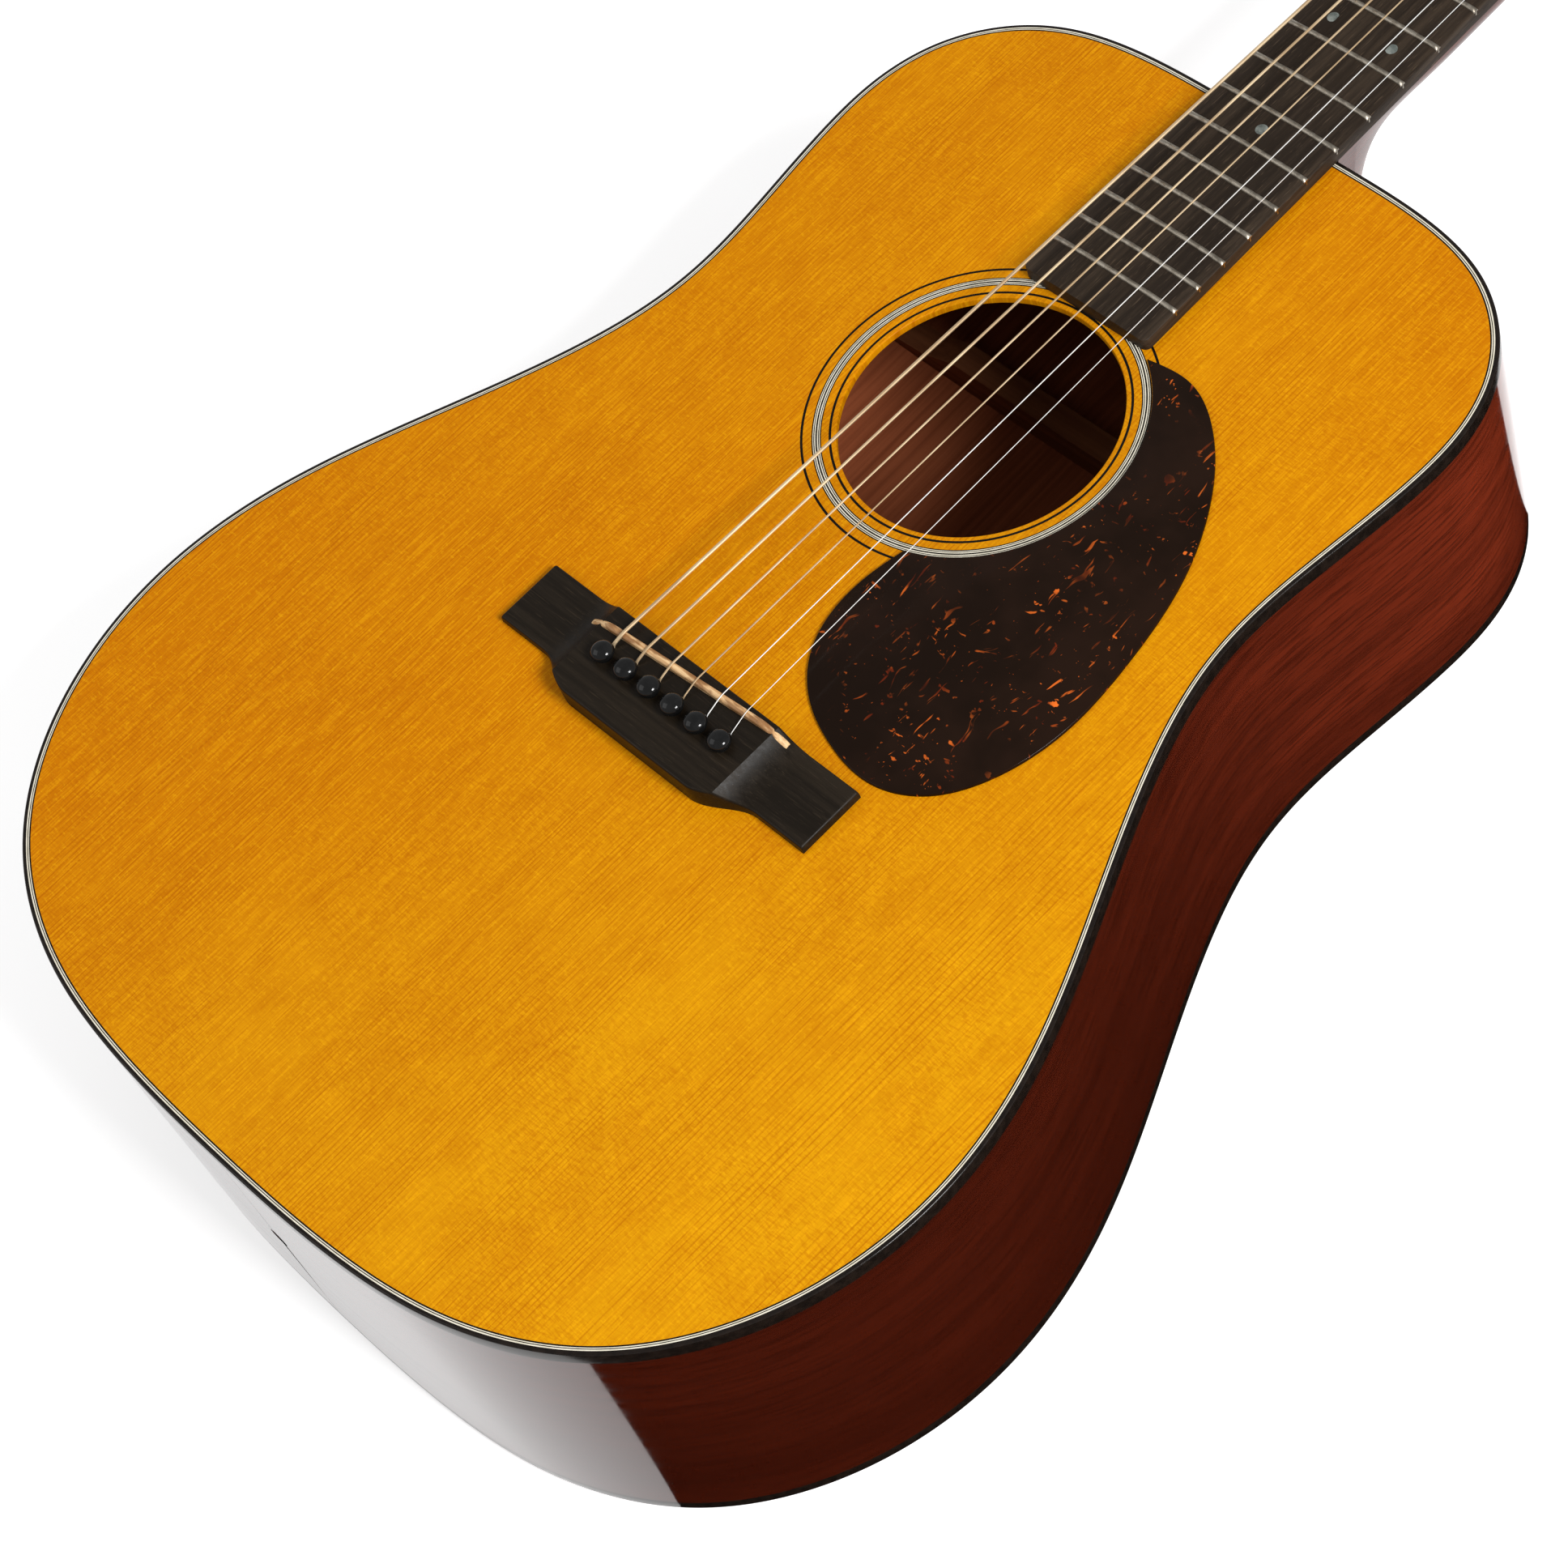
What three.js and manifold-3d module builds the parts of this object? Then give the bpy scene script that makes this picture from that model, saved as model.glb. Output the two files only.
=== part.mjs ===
// Steel-string acoustic guitar with a square-shouldered body, fourteen frets clear of the body.
//
// Instrument frame, millimetres: X runs across the neck towards the treble side, Y along the
// strings towards the head, Z straight up out of the soundboard. Y = 0 is the playing edge of
// the nut and Z = 0 is the upper face of the soundboard. The instrument is turned at the end,
// so that the flat middle of its back lies level, and moved to stand on Z = 0.

import * as THREE from 'three';
import { mergeVertices } from 'three/addons/utils/BufferGeometryUtils.js';
import Module from 'manifold-3d';

const wasm = await Module();
wasm.setup();

// ---------------------------------------------------------------- driving dimensions
const GAP = 0.3;                    // clearance that keeps neighbouring pieces apart
const SCALE_LENGTH = 645.2;         // nut to saddle, before compensation
const FRET_COUNT = 20;
const BODY_NECK_Y = -358.1;         // upper end of the body, at the fourteenth fret
const BODY_LENGTH = 512.7;
const RIM_DEPTH_NECK = 106;         // edge of the back below the soundboard, at the neck
const RIM_DEPTH_TAIL = 126;
const BACK_ARCH = 4;                // the middle of the back stands this far below its edge
const BACK_FLAT = 0.75;             // share of the back's outline that is flat
const BACK_CENTRE_Y = -460;
const PLATE = 2.8;                  // thickness of soundboard and back
const RIB = 2;                      // thickness of the bent sides
const TOP_BINDING_HEIGHT = 6;
const BACK_BINDING_HEIGHT = 5;
const PLATE_INSET = RIB + GAP;      // plates, linings and blocks start this far inside the outline
const LINING_HEIGHT = 14;
const LINING_WIDTH = 5.5;
const BRACE_INSET = 11;             // brace ends stop this far inside the outline
const SOUNDHOLE = { y: -511, r: 50.5 };
const DOVETAIL = { mouth: 12.5, back: 17, depth: 28, height: 88 };
const RIB_END = DOVETAIL.mouth + 1.5; // the ribs stop this far from the centre line at the neck
const BLOCK_HALF_WIDTH = 36;
const NECK_BLOCK_DEPTH = 46;
const END_BLOCK_DEPTH = 24;
const FRETBOARD = { end: -458, thickness: 6.3, nutHalf: 21.5, spread: 0.017 };
const FRET = { height: 1, width: 2.2 };
const TRUSS_ROD = { half: 4, from: -350, to: -12, bottom: -9.9 };
const NUT = { length: 5, top: 8.6 };
const HEEL = { start: -285, foot: -348, depth: 103, grows: 7 };
const BRIDGE = { front: -645, wingBack: -671.7, bellyBack: -680.5, half: 75.8, high: 9.2, wing: 3.6 };
const SADDLE = { half: 45.7, y: -650.6, turn: 0.067, thick: 2.6, top: 11.6, slot: 5 };
const PIN = { y: -662, spacing: 11.7, headR: 4, shankR: 2.3, holeR: 2.7 };
const STRING_SPACING = { nut: 7.2, saddle: 11.4 };
const STRING_RADII = [0.67, 0.53, 0.4, 0.3, 0.2, 0.15];
const HEAD = {
  tilt: THREE.MathUtils.degToRad(15), start: 5, length: 190, thick: 15, half: 31, flare: 28, spread: 0.04,
};
const POST = { first: 45, pitch: 38, edge: 9.5, r: 3.1, above: 17, wrap: 8 };
const WORM = { offset: 7.9, drop: 3.6, r: 2.4, shaftR: 1.3 };
const END_HOLE = { r: 3.9, drop: 62 }; // open hole for an end pin, this far below the soundboard
const MACHINE = {
  baseHalf: 8, baseLength: 13, baseThick: 1.5,
  lug: 6.6, lugHalf: 0.9, lugLow: 6.5, lugNear: 4.5, lugFar: 11.5,
  gearR: 5.1, gearThick: 3.4, wormHalf: 4.6, shaftEnd: 8.6, buttonHalf: [9.5, 7.5], buttonThick: 6,
};
const X_BRACE = { y: -592, angle: THREE.MathUtils.degToRad(41), up: 160, down: 240, width: 8, tall: 15 };
const TRANSVERSE = { half: 124, y: -447, width: 11, tall: 16 };
const TONE_BAR = {
  width: 8, tall: 12, places: [[[100, -701], [-148, -813.5]], [[137, -738], [-96, -843.6]]],
};
const BACK_BRACES = [
  { y: -455, width: 11, tall: 15 },
  { y: -562, width: 11, tall: 15 },
  { y: -672, width: 20, tall: 9 },
  { y: -780, width: 20, tall: 9 },
];
const BACK_SEAT = 0.7;              // clearance of the back braces over the facets of the back
const BRIDGE_PLATE = { front: -645, back: -686, frontHalf: 50, backHalf: 95 };
const PICKGUARD_THICK = 1;
const PICKGUARD_ROSETTE = 59.6;     // radius of the pickguard's edge beside the soundhole
const RING_SIDES = 8;               // sides of small holes and pins
const SOUNDHOLE_SIDES = 40;
const STEP = 0.05;                  // length in which a brace changes height at a lap joint

// Half of the body's outline: distance from the centre line, distance from the tail.
const HALF_OUTLINE = [
  [60, 2.1], [101, 9.2], [150, 34], [184.4, 79.8], [197.2, 141], [190, 186.5], [172.2, 232],
  [145.4, 291.9], [133.6, 336], [132.8, 351], [135, 380.5], [140, 425.7], [140.2, 441],
  [132.6, 472], [116.6, 492.5], [101, 502.7], [70.2, 510.8], [35, 512.6],
];
const STEPS_PER_POINT = 2;

// The pickguard's free edge, from the soundhole's neck side round to its bridge side.
const PICKGUARD_EDGE = [
  [32, -460.5], [50.4, -459.2], [70, -469], [89, -490.2], [104, -520.8], [111.3, -555.4],
  [112.8, -586.2], [106.2, -613], [93, -631.6], [75.4, -639.6], [54.2, -637.4], [35, -629],
  [21.7, -615], [16, -597.7], [16.2, -580.4], [19, -567],
];

// ---------------------------------------------------------------- materials
const finish = (color, roughness, metalness = 0) => (
  new THREE.MeshStandardMaterial({ color, roughness, metalness })
);
const MATERIAL = {
  spruce: finish(0xd98a1e, 0.28),
  braceSpruce: finish(0xc9a66b, 0.7),
  mahogany: finish(0x4a1a0e, 0.25),
  innerMahogany: finish(0x8a5638, 0.75),
  ebony: finish(0x2a2422, 0.5),
  binding: finish(0x0b0908, 0.2),
  tortoiseshell: finish(0x1c0d08, 0.15),
  bone: finish(0xd9b07a, 0.45),
  plasticPin: finish(0x101012, 0.2),
  nickel: finish(0xb9b8b2, 0.28, 1),
  steel: finish(0x8f8f8c, 0.4, 1),
  bronze: finish(0xb08a5a, 0.35, 1),
  plainString: finish(0xc8c8c6, 0.25, 1),
};

// ---------------------------------------------------------------- geometry tools
const vec = (x, y, z) => new THREE.Vector3(x, y, z);

// Direction of a flat ring's face, by Newell's sum over its edges.
function ringNormal(ring) {
  const normal = vec(0, 0, 0);
  ring.forEach((a, i) => {
    const b = ring[(i + 1) % ring.length];
    normal.add(vec(
      (a.y - b.y) * (a.z + b.z),
      (a.z - b.z) * (a.x + b.x),
      (a.x - b.x) * (a.y + b.y),
    ));
  });
  return normal;
}

// Triangles over a ring, which may be concave: it is flattened along its largest direction.
function capFaces(ring) {
  const n = ringNormal(ring);
  const size = [Math.abs(n.x), Math.abs(n.y), Math.abs(n.z)];
  const widest = size.indexOf(Math.max(...size));
  const flat = ring.map((p) => [
    new THREE.Vector2(p.y, p.z), new THREE.Vector2(p.z, p.x), new THREE.Vector2(p.x, p.y),
  ][widest]);
  const turned = THREE.ShapeUtils.area(flat) < 0;
  const order = ring.map((_, i) => (turned ? ring.length - 1 - i : i));
  const faces = THREE.ShapeUtils.triangulateShape(order.map((i) => flat[i]), []);
  return faces.map((face) => {
    const [a, b, c] = face.map((i) => order[i]);
    return turned ? [c, b, a] : [a, b, c];
  });
}

// A closed skin over a row of rings with equally many points: open rows get flat ends and a
// looped row joins its last ring to its first. The faces are turned to point outwards.
function loft(rings, looped = false) {
  const count = rings[0].length;
  const faces = [];
  const rows = looped ? rings.length : rings.length - 1;
  for (let row = 0; row < rows; row += 1) {
    const here = row * count;
    const next = ((row + 1) % rings.length) * count;
    for (let i = 0; i < count; i += 1) {
      const j = (i + 1) % count;
      faces.push([here + i, here + j, next + j]);
      faces.push([here + i, next + j, next + i]);
    }
  }
  if (!looped) {
    const last = (rings.length - 1) * count;
    capFaces(rings[0]).forEach(([a, b, c]) => faces.push([c, b, a]));
    capFaces(rings[rings.length - 1]).forEach(([a, b, c]) => faces.push([last + a, last + b, last + c]));
  }
  const points = rings.flat();
  const volume = faces.reduce((sum, [a, b, c]) => (
    sum + points[a].dot(points[b].clone().cross(points[c]))
  ), 0);
  const index = faces.flatMap(([a, b, c]) => (volume < 0 ? [a, c, b] : [a, b, c]));
  const geometry = new THREE.BufferGeometry().setFromPoints(points);
  geometry.setIndex(index);
  return geometry;
}

function solid(geometry) {
  const bare = geometry.clone();
  bare.deleteAttribute('normal');
  bare.deleteAttribute('uv');
  const merged = mergeVertices(bare, 1e-4);
  return new wasm.Manifold(new wasm.Mesh({
    numProp: 3,
    vertProperties: new Float32Array(merged.attributes.position.array),
    triVerts: new Uint32Array(merged.index.array),
  }));
}

function geometryOf(manifold) {
  const mesh = manifold.getMesh();
  const geometry = new THREE.BufferGeometry();
  geometry.setAttribute('position', new THREE.BufferAttribute(mesh.vertProperties, 3));
  geometry.setIndex(new THREE.BufferAttribute(mesh.triVerts, 1));
  return geometry;
}

const join = (...shapes) => geometryOf(shapes.map(solid).reduce((a, b) => a.add(b)));
const cut = (shape, ...tools) => geometryOf(
  tools.map(solid).reduce((rest, tool) => rest.subtract(tool), solid(shape)),
);

function box(x0, x1, y0, y1, z0, z1) {
  const geometry = new THREE.BoxGeometry(x1 - x0, y1 - y0, z1 - z0);
  return geometry.translate((x0 + x1) / 2, (y0 + y1) / 2, (z0 + z1) / 2);
}

// An upright pin or hole through (x, y), between two heights.
function post(x, y, z0, z1, radius, sides = RING_SIDES) {
  const geometry = new THREE.CylinderGeometry(radius, radius, z1 - z0, sides);
  return geometry.rotateX(Math.PI / 2).translate(x, y, (z0 + z1) / 2);
}

// A turned piece whose axis is +Z, from [radius, height] pairs that start and end on the axis.
function turned(profile, sides) {
  const points = profile.map(([r, h]) => new THREE.Vector2(r, h));
  return new THREE.LatheGeometry(points, sides).rotateX(Math.PI / 2);
}

function plate(shape, z0, thickness) {
  return new THREE.ExtrudeGeometry(shape, { depth: thickness, bevelEnabled: false }).translate(0, 0, z0);
}

function mesh(name, geometry, material) {
  const piece = new THREE.Mesh(geometry, material);
  piece.name = name;
  return piece;
}

// ---------------------------------------------------------------- the body's outline
const TAIL_Y = BODY_NECK_Y - BODY_LENGTH;
const treblePoints = HALF_OUTLINE.map(([x, fromTail]) => vec(x, TAIL_Y + fromTail, 0));
const bassPoints = [...treblePoints].reverse().map((p) => vec(-p.x, p.y, 0));
// It starts at the tail, runs up the treble side to the neck halfway round, and back down.
const outline = new THREE.CatmullRomCurve3(
  [vec(0, TAIL_Y, 0), ...treblePoints, vec(0, BODY_NECK_Y, 0), ...bassPoints], true,
);
const OUTLINE_STEPS = STEPS_PER_POINT * outline.points.length;

// The outline's point at t, moved inwards.
function inset(t, distance) {
  const point = outline.getPoint(t);
  const tangent = outline.getTangent(t);
  return vec(point.x - tangent.y * distance, point.y + tangent.x * distance, 0);
}

// Where the treble half crosses a distance from the centre line, near the tail or the neck.
function crossing(x, atNeck) {
  let [low, high] = atNeck ? [0.5, 0.4] : [0, 0.1];
  for (let i = 0; i < 30; i += 1) {
    const middle = (low + high) / 2;
    if (outline.getPoint(middle).x < x) low = middle;
    else high = middle;
  }
  return low;
}

const around = Array.from({ length: OUTLINE_STEPS }, (_, i) => i / OUTLINE_STEPS);

// Steps along the treble side, from x0 off the centre line at the tail to x1 at the neck.
function trebleRun(x0, x1) {
  const start = crossing(x0, false);
  const end = crossing(x1, true);
  const between = around.filter((t) => t > start + 0.004 && t < end - 0.004);
  return [start, ...between, end];
}
const bassRun = (x0, x1) => trebleRun(x0, x1).map((t) => 1 - t);

const rim = (y) => {
  const share = (BODY_NECK_Y - y) / BODY_LENGTH;
  return -(RIM_DEPTH_NECK + (RIM_DEPTH_TAIL - RIM_DEPTH_NECK) * share);
};

// A strip that follows the outline. Each corner of its section is [distance inside the outline,
// height], where the height is a number or a function of y.
function strip(run, section, looped = false) {
  const rings = run.map((t) => section.map(([distance, height]) => {
    const p = inset(t, distance);
    return p.setZ(typeof height === 'function' ? height(p.y) : height);
  }));
  return loft(rings, looped);
}

const above = (lift) => (y) => rim(y) + lift;

// ---------------------------------------------------------------- plates, sides and bindings
const stringX = (i, spacing) => (i - 2.5) * spacing;

function ringOfPoints(x, y, r, sides) {
  return Array.from({ length: sides }, (_, i) => {
    const a = (2 * Math.PI * i) / sides;
    return new THREE.Vector2(x + r * Math.cos(a), y + r * Math.sin(a));
  });
}

function soundboard() {
  const edge = around.map((t) => inset(t, PLATE_INSET));
  const shape = new THREE.Shape(edge.map((p) => new THREE.Vector2(p.x, p.y)));
  shape.holes.push(new THREE.Path(ringOfPoints(0, SOUNDHOLE.y, SOUNDHOLE.r, SOUNDHOLE_SIDES)));
  STRING_RADII.forEach((_, i) => {
    shape.holes.push(new THREE.Path(ringOfPoints(stringX(i, PIN.spacing), PIN.y, PIN.holeR, RING_SIDES)));
  });
  return plate(shape, -PLATE, PLATE);
}

// The back rises in a smooth band from its flat middle to its edge, on both faces.
function backPlate() {
  const ring = (share, lift) => around.map((t) => {
    const p = inset(t, PLATE_INSET);
    const x = p.x * share;
    const y = BACK_CENTRE_Y + (p.y - BACK_CENTRE_Y) * share;
    const out = (share - BACK_FLAT) / (1 - BACK_FLAT);
    return vec(x, y, rim(y) + lift - BACK_ARCH * (1 - out * out));
  });
  const shares = [BACK_FLAT, (1 + BACK_FLAT) / 2, 1];
  return loft([
    ...shares.map((share) => ring(share, 0)),
    ...shares.reverse().map((share) => ring(share, PLATE)),
  ]);
}

const endHole = () => {
  const hole = new THREE.CylinderGeometry(END_HOLE.r, END_HOLE.r, 3 * END_BLOCK_DEPTH, 2 * RING_SIDES);
  return hole.translate(0, TAIL_Y, -END_HOLE.drop);
};

function rib(run) {
  const top = -TOP_BINDING_HEIGHT - GAP;
  const bottom = above(BACK_BINDING_HEIGHT + GAP);
  return cut(strip(run, [[0, top], [0, bottom], [RIB, bottom], [RIB, top]]), endHole());
}

function topBinding() {
  const low = -TOP_BINDING_HEIGHT;
  return strip(around, [[0, 0], [0, low], [RIB, low], [RIB, 0]], true);
}

function backBinding() {
  const high = above(BACK_BINDING_HEIGHT);
  return strip(around, [[0, above(0)], [0, high], [RIB, high], [RIB, above(0)]], true);
}

const underTop = -PLATE - GAP;
const overBack = PLATE + GAP;

function topLining(run) {
  const inner = PLATE_INSET + LINING_WIDTH;
  return strip(run, [
    [PLATE_INSET, underTop], [PLATE_INSET, underTop - LINING_HEIGHT],
    [inner, underTop - LINING_WIDTH], [inner, underTop],
  ]);
}

function backLining(run) {
  const inner = PLATE_INSET + LINING_WIDTH;
  return strip(run, [
    [PLATE_INSET, above(overBack)], [PLATE_INSET, above(overBack + LINING_HEIGHT)],
    [inner, above(overBack + LINING_WIDTH)], [inner, above(overBack)],
  ]);
}

// ---------------------------------------------------------------- blocks and braces
// A block between the plates: its outer face follows the sides and its inner face is flat.
function block(atNeck, depth) {
  const t = atNeck ? crossing(BLOCK_HALF_WIDTH, true) : crossing(BLOCK_HALF_WIDTH, false);
  const middle = atNeck ? 0.5 : 0;
  const turns = [-1, -0.5, 0, 0.5, 1].map((k) => middle + (t - middle) * k);
  const outer = turns.map((s) => inset((s + 1) % 1, PLATE_INSET));
  const flatY = inset(middle, PLATE_INSET + depth).y;
  const corners = [...outer, vec(outer[4].x, flatY, 0), vec(outer[0].x, flatY, 0)];
  const top = corners.map((p) => vec(p.x, p.y, underTop));
  const bottom = corners.map((p) => vec(p.x, p.y, rim(p.y) + overBack));
  return loft([top, bottom]);
}

// The dovetail's plan, widening into the body, between two heights.
function dovetail(extra, start, z0, z1) {
  const { mouth, back, depth } = DOVETAIL;
  const shape = new THREE.Shape([
    new THREE.Vector2(-mouth - extra, start),
    new THREE.Vector2(mouth + extra, start),
    new THREE.Vector2(back + extra, BODY_NECK_Y - depth - extra),
    new THREE.Vector2(-back - extra, BODY_NECK_Y - depth - extra),
  ]);
  return plate(shape, z0, z1 - z0);
}

const tenonTop = -TOP_BINDING_HEIGHT - GAP;
const neckBlock = () => cut(
  block(true, NECK_BLOCK_DEPTH),
  dovetail(GAP, BODY_NECK_Y + 1, tenonTop - DOVETAIL.height - GAP, 0),
);
const endBlock = () => cut(block(false, END_BLOCK_DEPTH), endHole());

// A brace on the underside of the soundboard or on the inside of the back. Each station is
// [distance along it, lower edge, upper edge], measured inwards from the plate.
function brace(from, to, width, stations, surface, inward) {
  const along = to.clone().sub(from);
  const length = along.length();
  along.normalize();
  const across = vec(-along.y, along.x, 0).multiplyScalar(width / 2);
  const rings = stations.map(([s, near, far]) => {
    const p = from.clone().addScaledVector(along, s * length);
    const at = (offset, height) => {
      const corner = p.clone().addScaledVector(across, offset);
      return corner.setZ(surface(corner.x, corner.y) + inward * height);
    };
    return [at(-1, near), at(1, near), at(1, far), at(-1, far)];
  });
  return loft(rings);
}

const topUnderside = () => underTop;

// Height of the back's inner face over a point, with room for its facets.
function backInside(x, y) {
  const turn = (p) => Math.atan2(p.x, BACK_CENTRE_Y - p.y);
  const here = vec(x, y, 0);
  const edges = around.map((t) => inset(t, PLATE_INSET));
  const edge = edges.reduce((best, p) => (
    Math.abs(turn(p) - turn(here)) < Math.abs(turn(best) - turn(here)) ? p : best
  ));
  const share = Math.hypot(x, y - BACK_CENTRE_Y) / Math.hypot(edge.x, edge.y - BACK_CENTRE_Y);
  const out = Math.max(0, (share - BACK_FLAT) / (1 - BACK_FLAT));
  return rim(y) + overBack - BACK_ARCH * (1 - out * out);
}
const taper = (tall, low = 3.5) => [[0, 0, low], [0.16, 0, tall], [0.84, 0, tall], [1, 0, low]];

// One leg of the X: at the crossing it keeps either the half against the soundboard or the other.
function xBrace(side, keepsUpper) {
  const { angle, up, down, width, tall } = X_BRACE;
  const centre = vec(0, X_BRACE.y, 0);
  const direction = vec(side * Math.cos(angle), Math.sin(angle), 0);
  const from = centre.clone().addScaledVector(direction, -down);
  const to = centre.clone().addScaledVector(direction, up);
  const lap = width / 2 + 4 * GAP;
  const [near, far] = keepsUpper ? [0, (tall - GAP) / 2] : [(tall + GAP) / 2, tall];
  const at = (d) => d / (up + down);
  return brace(from, to, width, [
    [0, 0, tall * 0.2], [at(down * 0.3), 0, tall * 0.6], [at(down * 0.62), 0, tall * 0.8],
    [at(down - lap - STEP), 0, tall], [at(down - lap), near, far],
    [at(down + lap), near, far], [at(down + lap + STEP), 0, tall],
    [at(down + up * 0.56), 0, tall * 0.73], [1, 0, tall * 0.2],
  ], topUnderside, -1);
}

const transverseBrace = () => brace(
  vec(-TRANSVERSE.half, TRANSVERSE.y, 0), vec(TRANSVERSE.half, TRANSVERSE.y, 0),
  TRANSVERSE.width, taper(TRANSVERSE.tall), topUnderside, -1,
);

const toneBar = ([from, to]) => brace(
  vec(...from, 0), vec(...to, 0), TONE_BAR.width, taper(TONE_BAR.tall), topUnderside, -1,
);

function bridgePlate() {
  const { front, back, frontHalf, backHalf } = BRIDGE_PLATE;
  const corners = [[-frontHalf, front], [frontHalf, front], [backHalf, back], [-backHalf, back]];
  const shape = new THREE.Shape(corners.map(([x, y]) => new THREE.Vector2(x, y)));
  STRING_RADII.forEach((_, i) => {
    shape.holes.push(new THREE.Path(ringOfPoints(stringX(i, PIN.spacing), PIN.y, PIN.holeR, RING_SIDES)));
  });
  return plate(shape, underTop - PLATE, PLATE);
}

// Distance from the centre line to the outline at a height y on the treble side.
function halfWidthAt(y) {
  const [low, high] = [0.06, 0.46];
  const reach = Array.from({ length: 400 }, (_, i) => outline.getPoint(low + ((high - low) * i) / 399));
  return reach.reduce((best, p) => (Math.abs(p.y - y) < Math.abs(best.y - y) ? p : best)).x;
}

const backBrace = ({ y, width, tall }) => {
  const reach = Math.min(halfWidthAt(y + width / 2), halfWidthAt(y - width / 2)) - BRACE_INSET;
  return brace(vec(-reach, y, 0), vec(reach, y, 0), width, [
    [0, BACK_SEAT, 4], [0.07, BACK_SEAT, tall / 2], [0.14, BACK_SEAT, tall], [0.5, BACK_SEAT, tall],
    [0.86, BACK_SEAT, tall], [0.93, BACK_SEAT, tall / 2], [1, BACK_SEAT, 4],
  ], backInside, 1);
};

// ---------------------------------------------------------------- bridge, saddle and pins
// Sections across the bridge, from wing to wing: [x, back edge, height].
const bridgeHalf = [
  [0, BRIDGE.bellyBack, BRIDGE.high], [30, BRIDGE.bellyBack, BRIDGE.high],
  [36, BRIDGE.bellyBack + 1.3, BRIDGE.high - 0.6], [42, BRIDGE.bellyBack + 4.5, BRIDGE.high - 3],
  [50, BRIDGE.wingBack - 0.6, BRIDGE.wing + 1], [58, BRIDGE.wingBack, BRIDGE.wing],
  [BRIDGE.half - 1, BRIDGE.wingBack, BRIDGE.wing], [BRIDGE.half, BRIDGE.wingBack, BRIDGE.wing - 1],
];

function placedSaddle(half, thick, z0, z1) {
  return box(-half, half, -thick / 2, thick / 2, z0, z1).rotateZ(SADDLE.turn).translate(0, SADDLE.y, 0);
}

function bridge() {
  const stations = [
    ...bridgeHalf.slice(1).reverse().map(([x, back, high]) => [-x, back, high]), ...bridgeHalf,
  ];
  const chamfer = 1;
  const body = loft(stations.map(([x, back, high]) => [
    vec(x, BRIDGE.front, GAP), vec(x, BRIDGE.front, high - chamfer),
    vec(x, BRIDGE.front - chamfer, high), vec(x, back + chamfer, high),
    vec(x, back, high - chamfer), vec(x, back, GAP),
  ]));
  const holes = STRING_RADII.map((_, i) => (
    post(stringX(i, PIN.spacing), PIN.y, -1, BRIDGE.high + 1, PIN.holeR)
  ));
  const slot = placedSaddle(SADDLE.half + GAP, SADDLE.thick + 2 * GAP, BRIDGE.high - SADDLE.slot, 20);
  return cut(body, slot, ...holes);
}

// The saddle's ends slope down to the bridge outside the outer strings.
function saddle() {
  const low = BRIDGE.high - SADDLE.slot + GAP;
  const shape = new THREE.Shape([
    new THREE.Vector2(-SADDLE.half, low),
    new THREE.Vector2(SADDLE.half, low),
    new THREE.Vector2(SADDLE.half, BRIDGE.wing + 2),
    new THREE.Vector2(SADDLE.half - 12, SADDLE.top - 0.4),
    new THREE.Vector2(0, SADDLE.top),
    new THREE.Vector2(12 - SADDLE.half, SADDLE.top - 0.4),
    new THREE.Vector2(-SADDLE.half, BRIDGE.wing + 2),
  ]);
  const geometry = new THREE.ExtrudeGeometry(shape, { depth: SADDLE.thick, bevelEnabled: false });
  geometry.translate(0, 0, -SADDLE.thick / 2).rotateX(Math.PI / 2);
  return geometry.rotateZ(SADDLE.turn).translate(0, SADDLE.y, 0);
}

function bridgePin(i) {
  const head = BRIDGE.high + GAP;
  const { headR, shankR } = PIN;
  return turned([
    [0, -PLATE * 2 - 6], [shankR * 0.8, -PLATE * 2 - 6], [shankR, BRIDGE.high], [headR * 0.75, head],
    [headR, head + 2.4], [headR * 0.7, head + 4.6], [0, head + 5.4],
  ], RING_SIDES).translate(stringX(i, PIN.spacing), PIN.y, 0);
}

// ---------------------------------------------------------------- pickguard
// Drop-shaped, with an edge that follows the rosette. The rest is one smooth run of points.
function pickguard() {
  const follow = PICKGUARD_ROSETTE;
  const turn = ([x, y]) => Math.atan2(y - SOUNDHOLE.y, x);
  const from = turn(PICKGUARD_EDGE[PICKGUARD_EDGE.length - 1]);
  const to = turn(PICKGUARD_EDGE[0]);
  const outer = new THREE.SplineCurve(PICKGUARD_EDGE.map(([x, y]) => new THREE.Vector2(x, y)));
  const inner = Array.from({ length: 9 }, (_, i) => {
    const a = from + ((to - from) * (i + 1)) / 10;
    return new THREE.Vector2(follow * Math.cos(a), SOUNDHOLE.y + follow * Math.sin(a));
  });
  return plate(new THREE.Shape([...outer.getPoints(30), ...inner]), GAP, PICKGUARD_THICK);
}

// ---------------------------------------------------------------- neck, fretboard and nut
const boardHalf = (y) => FRETBOARD.nutHalf - FRETBOARD.spread * y;

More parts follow.
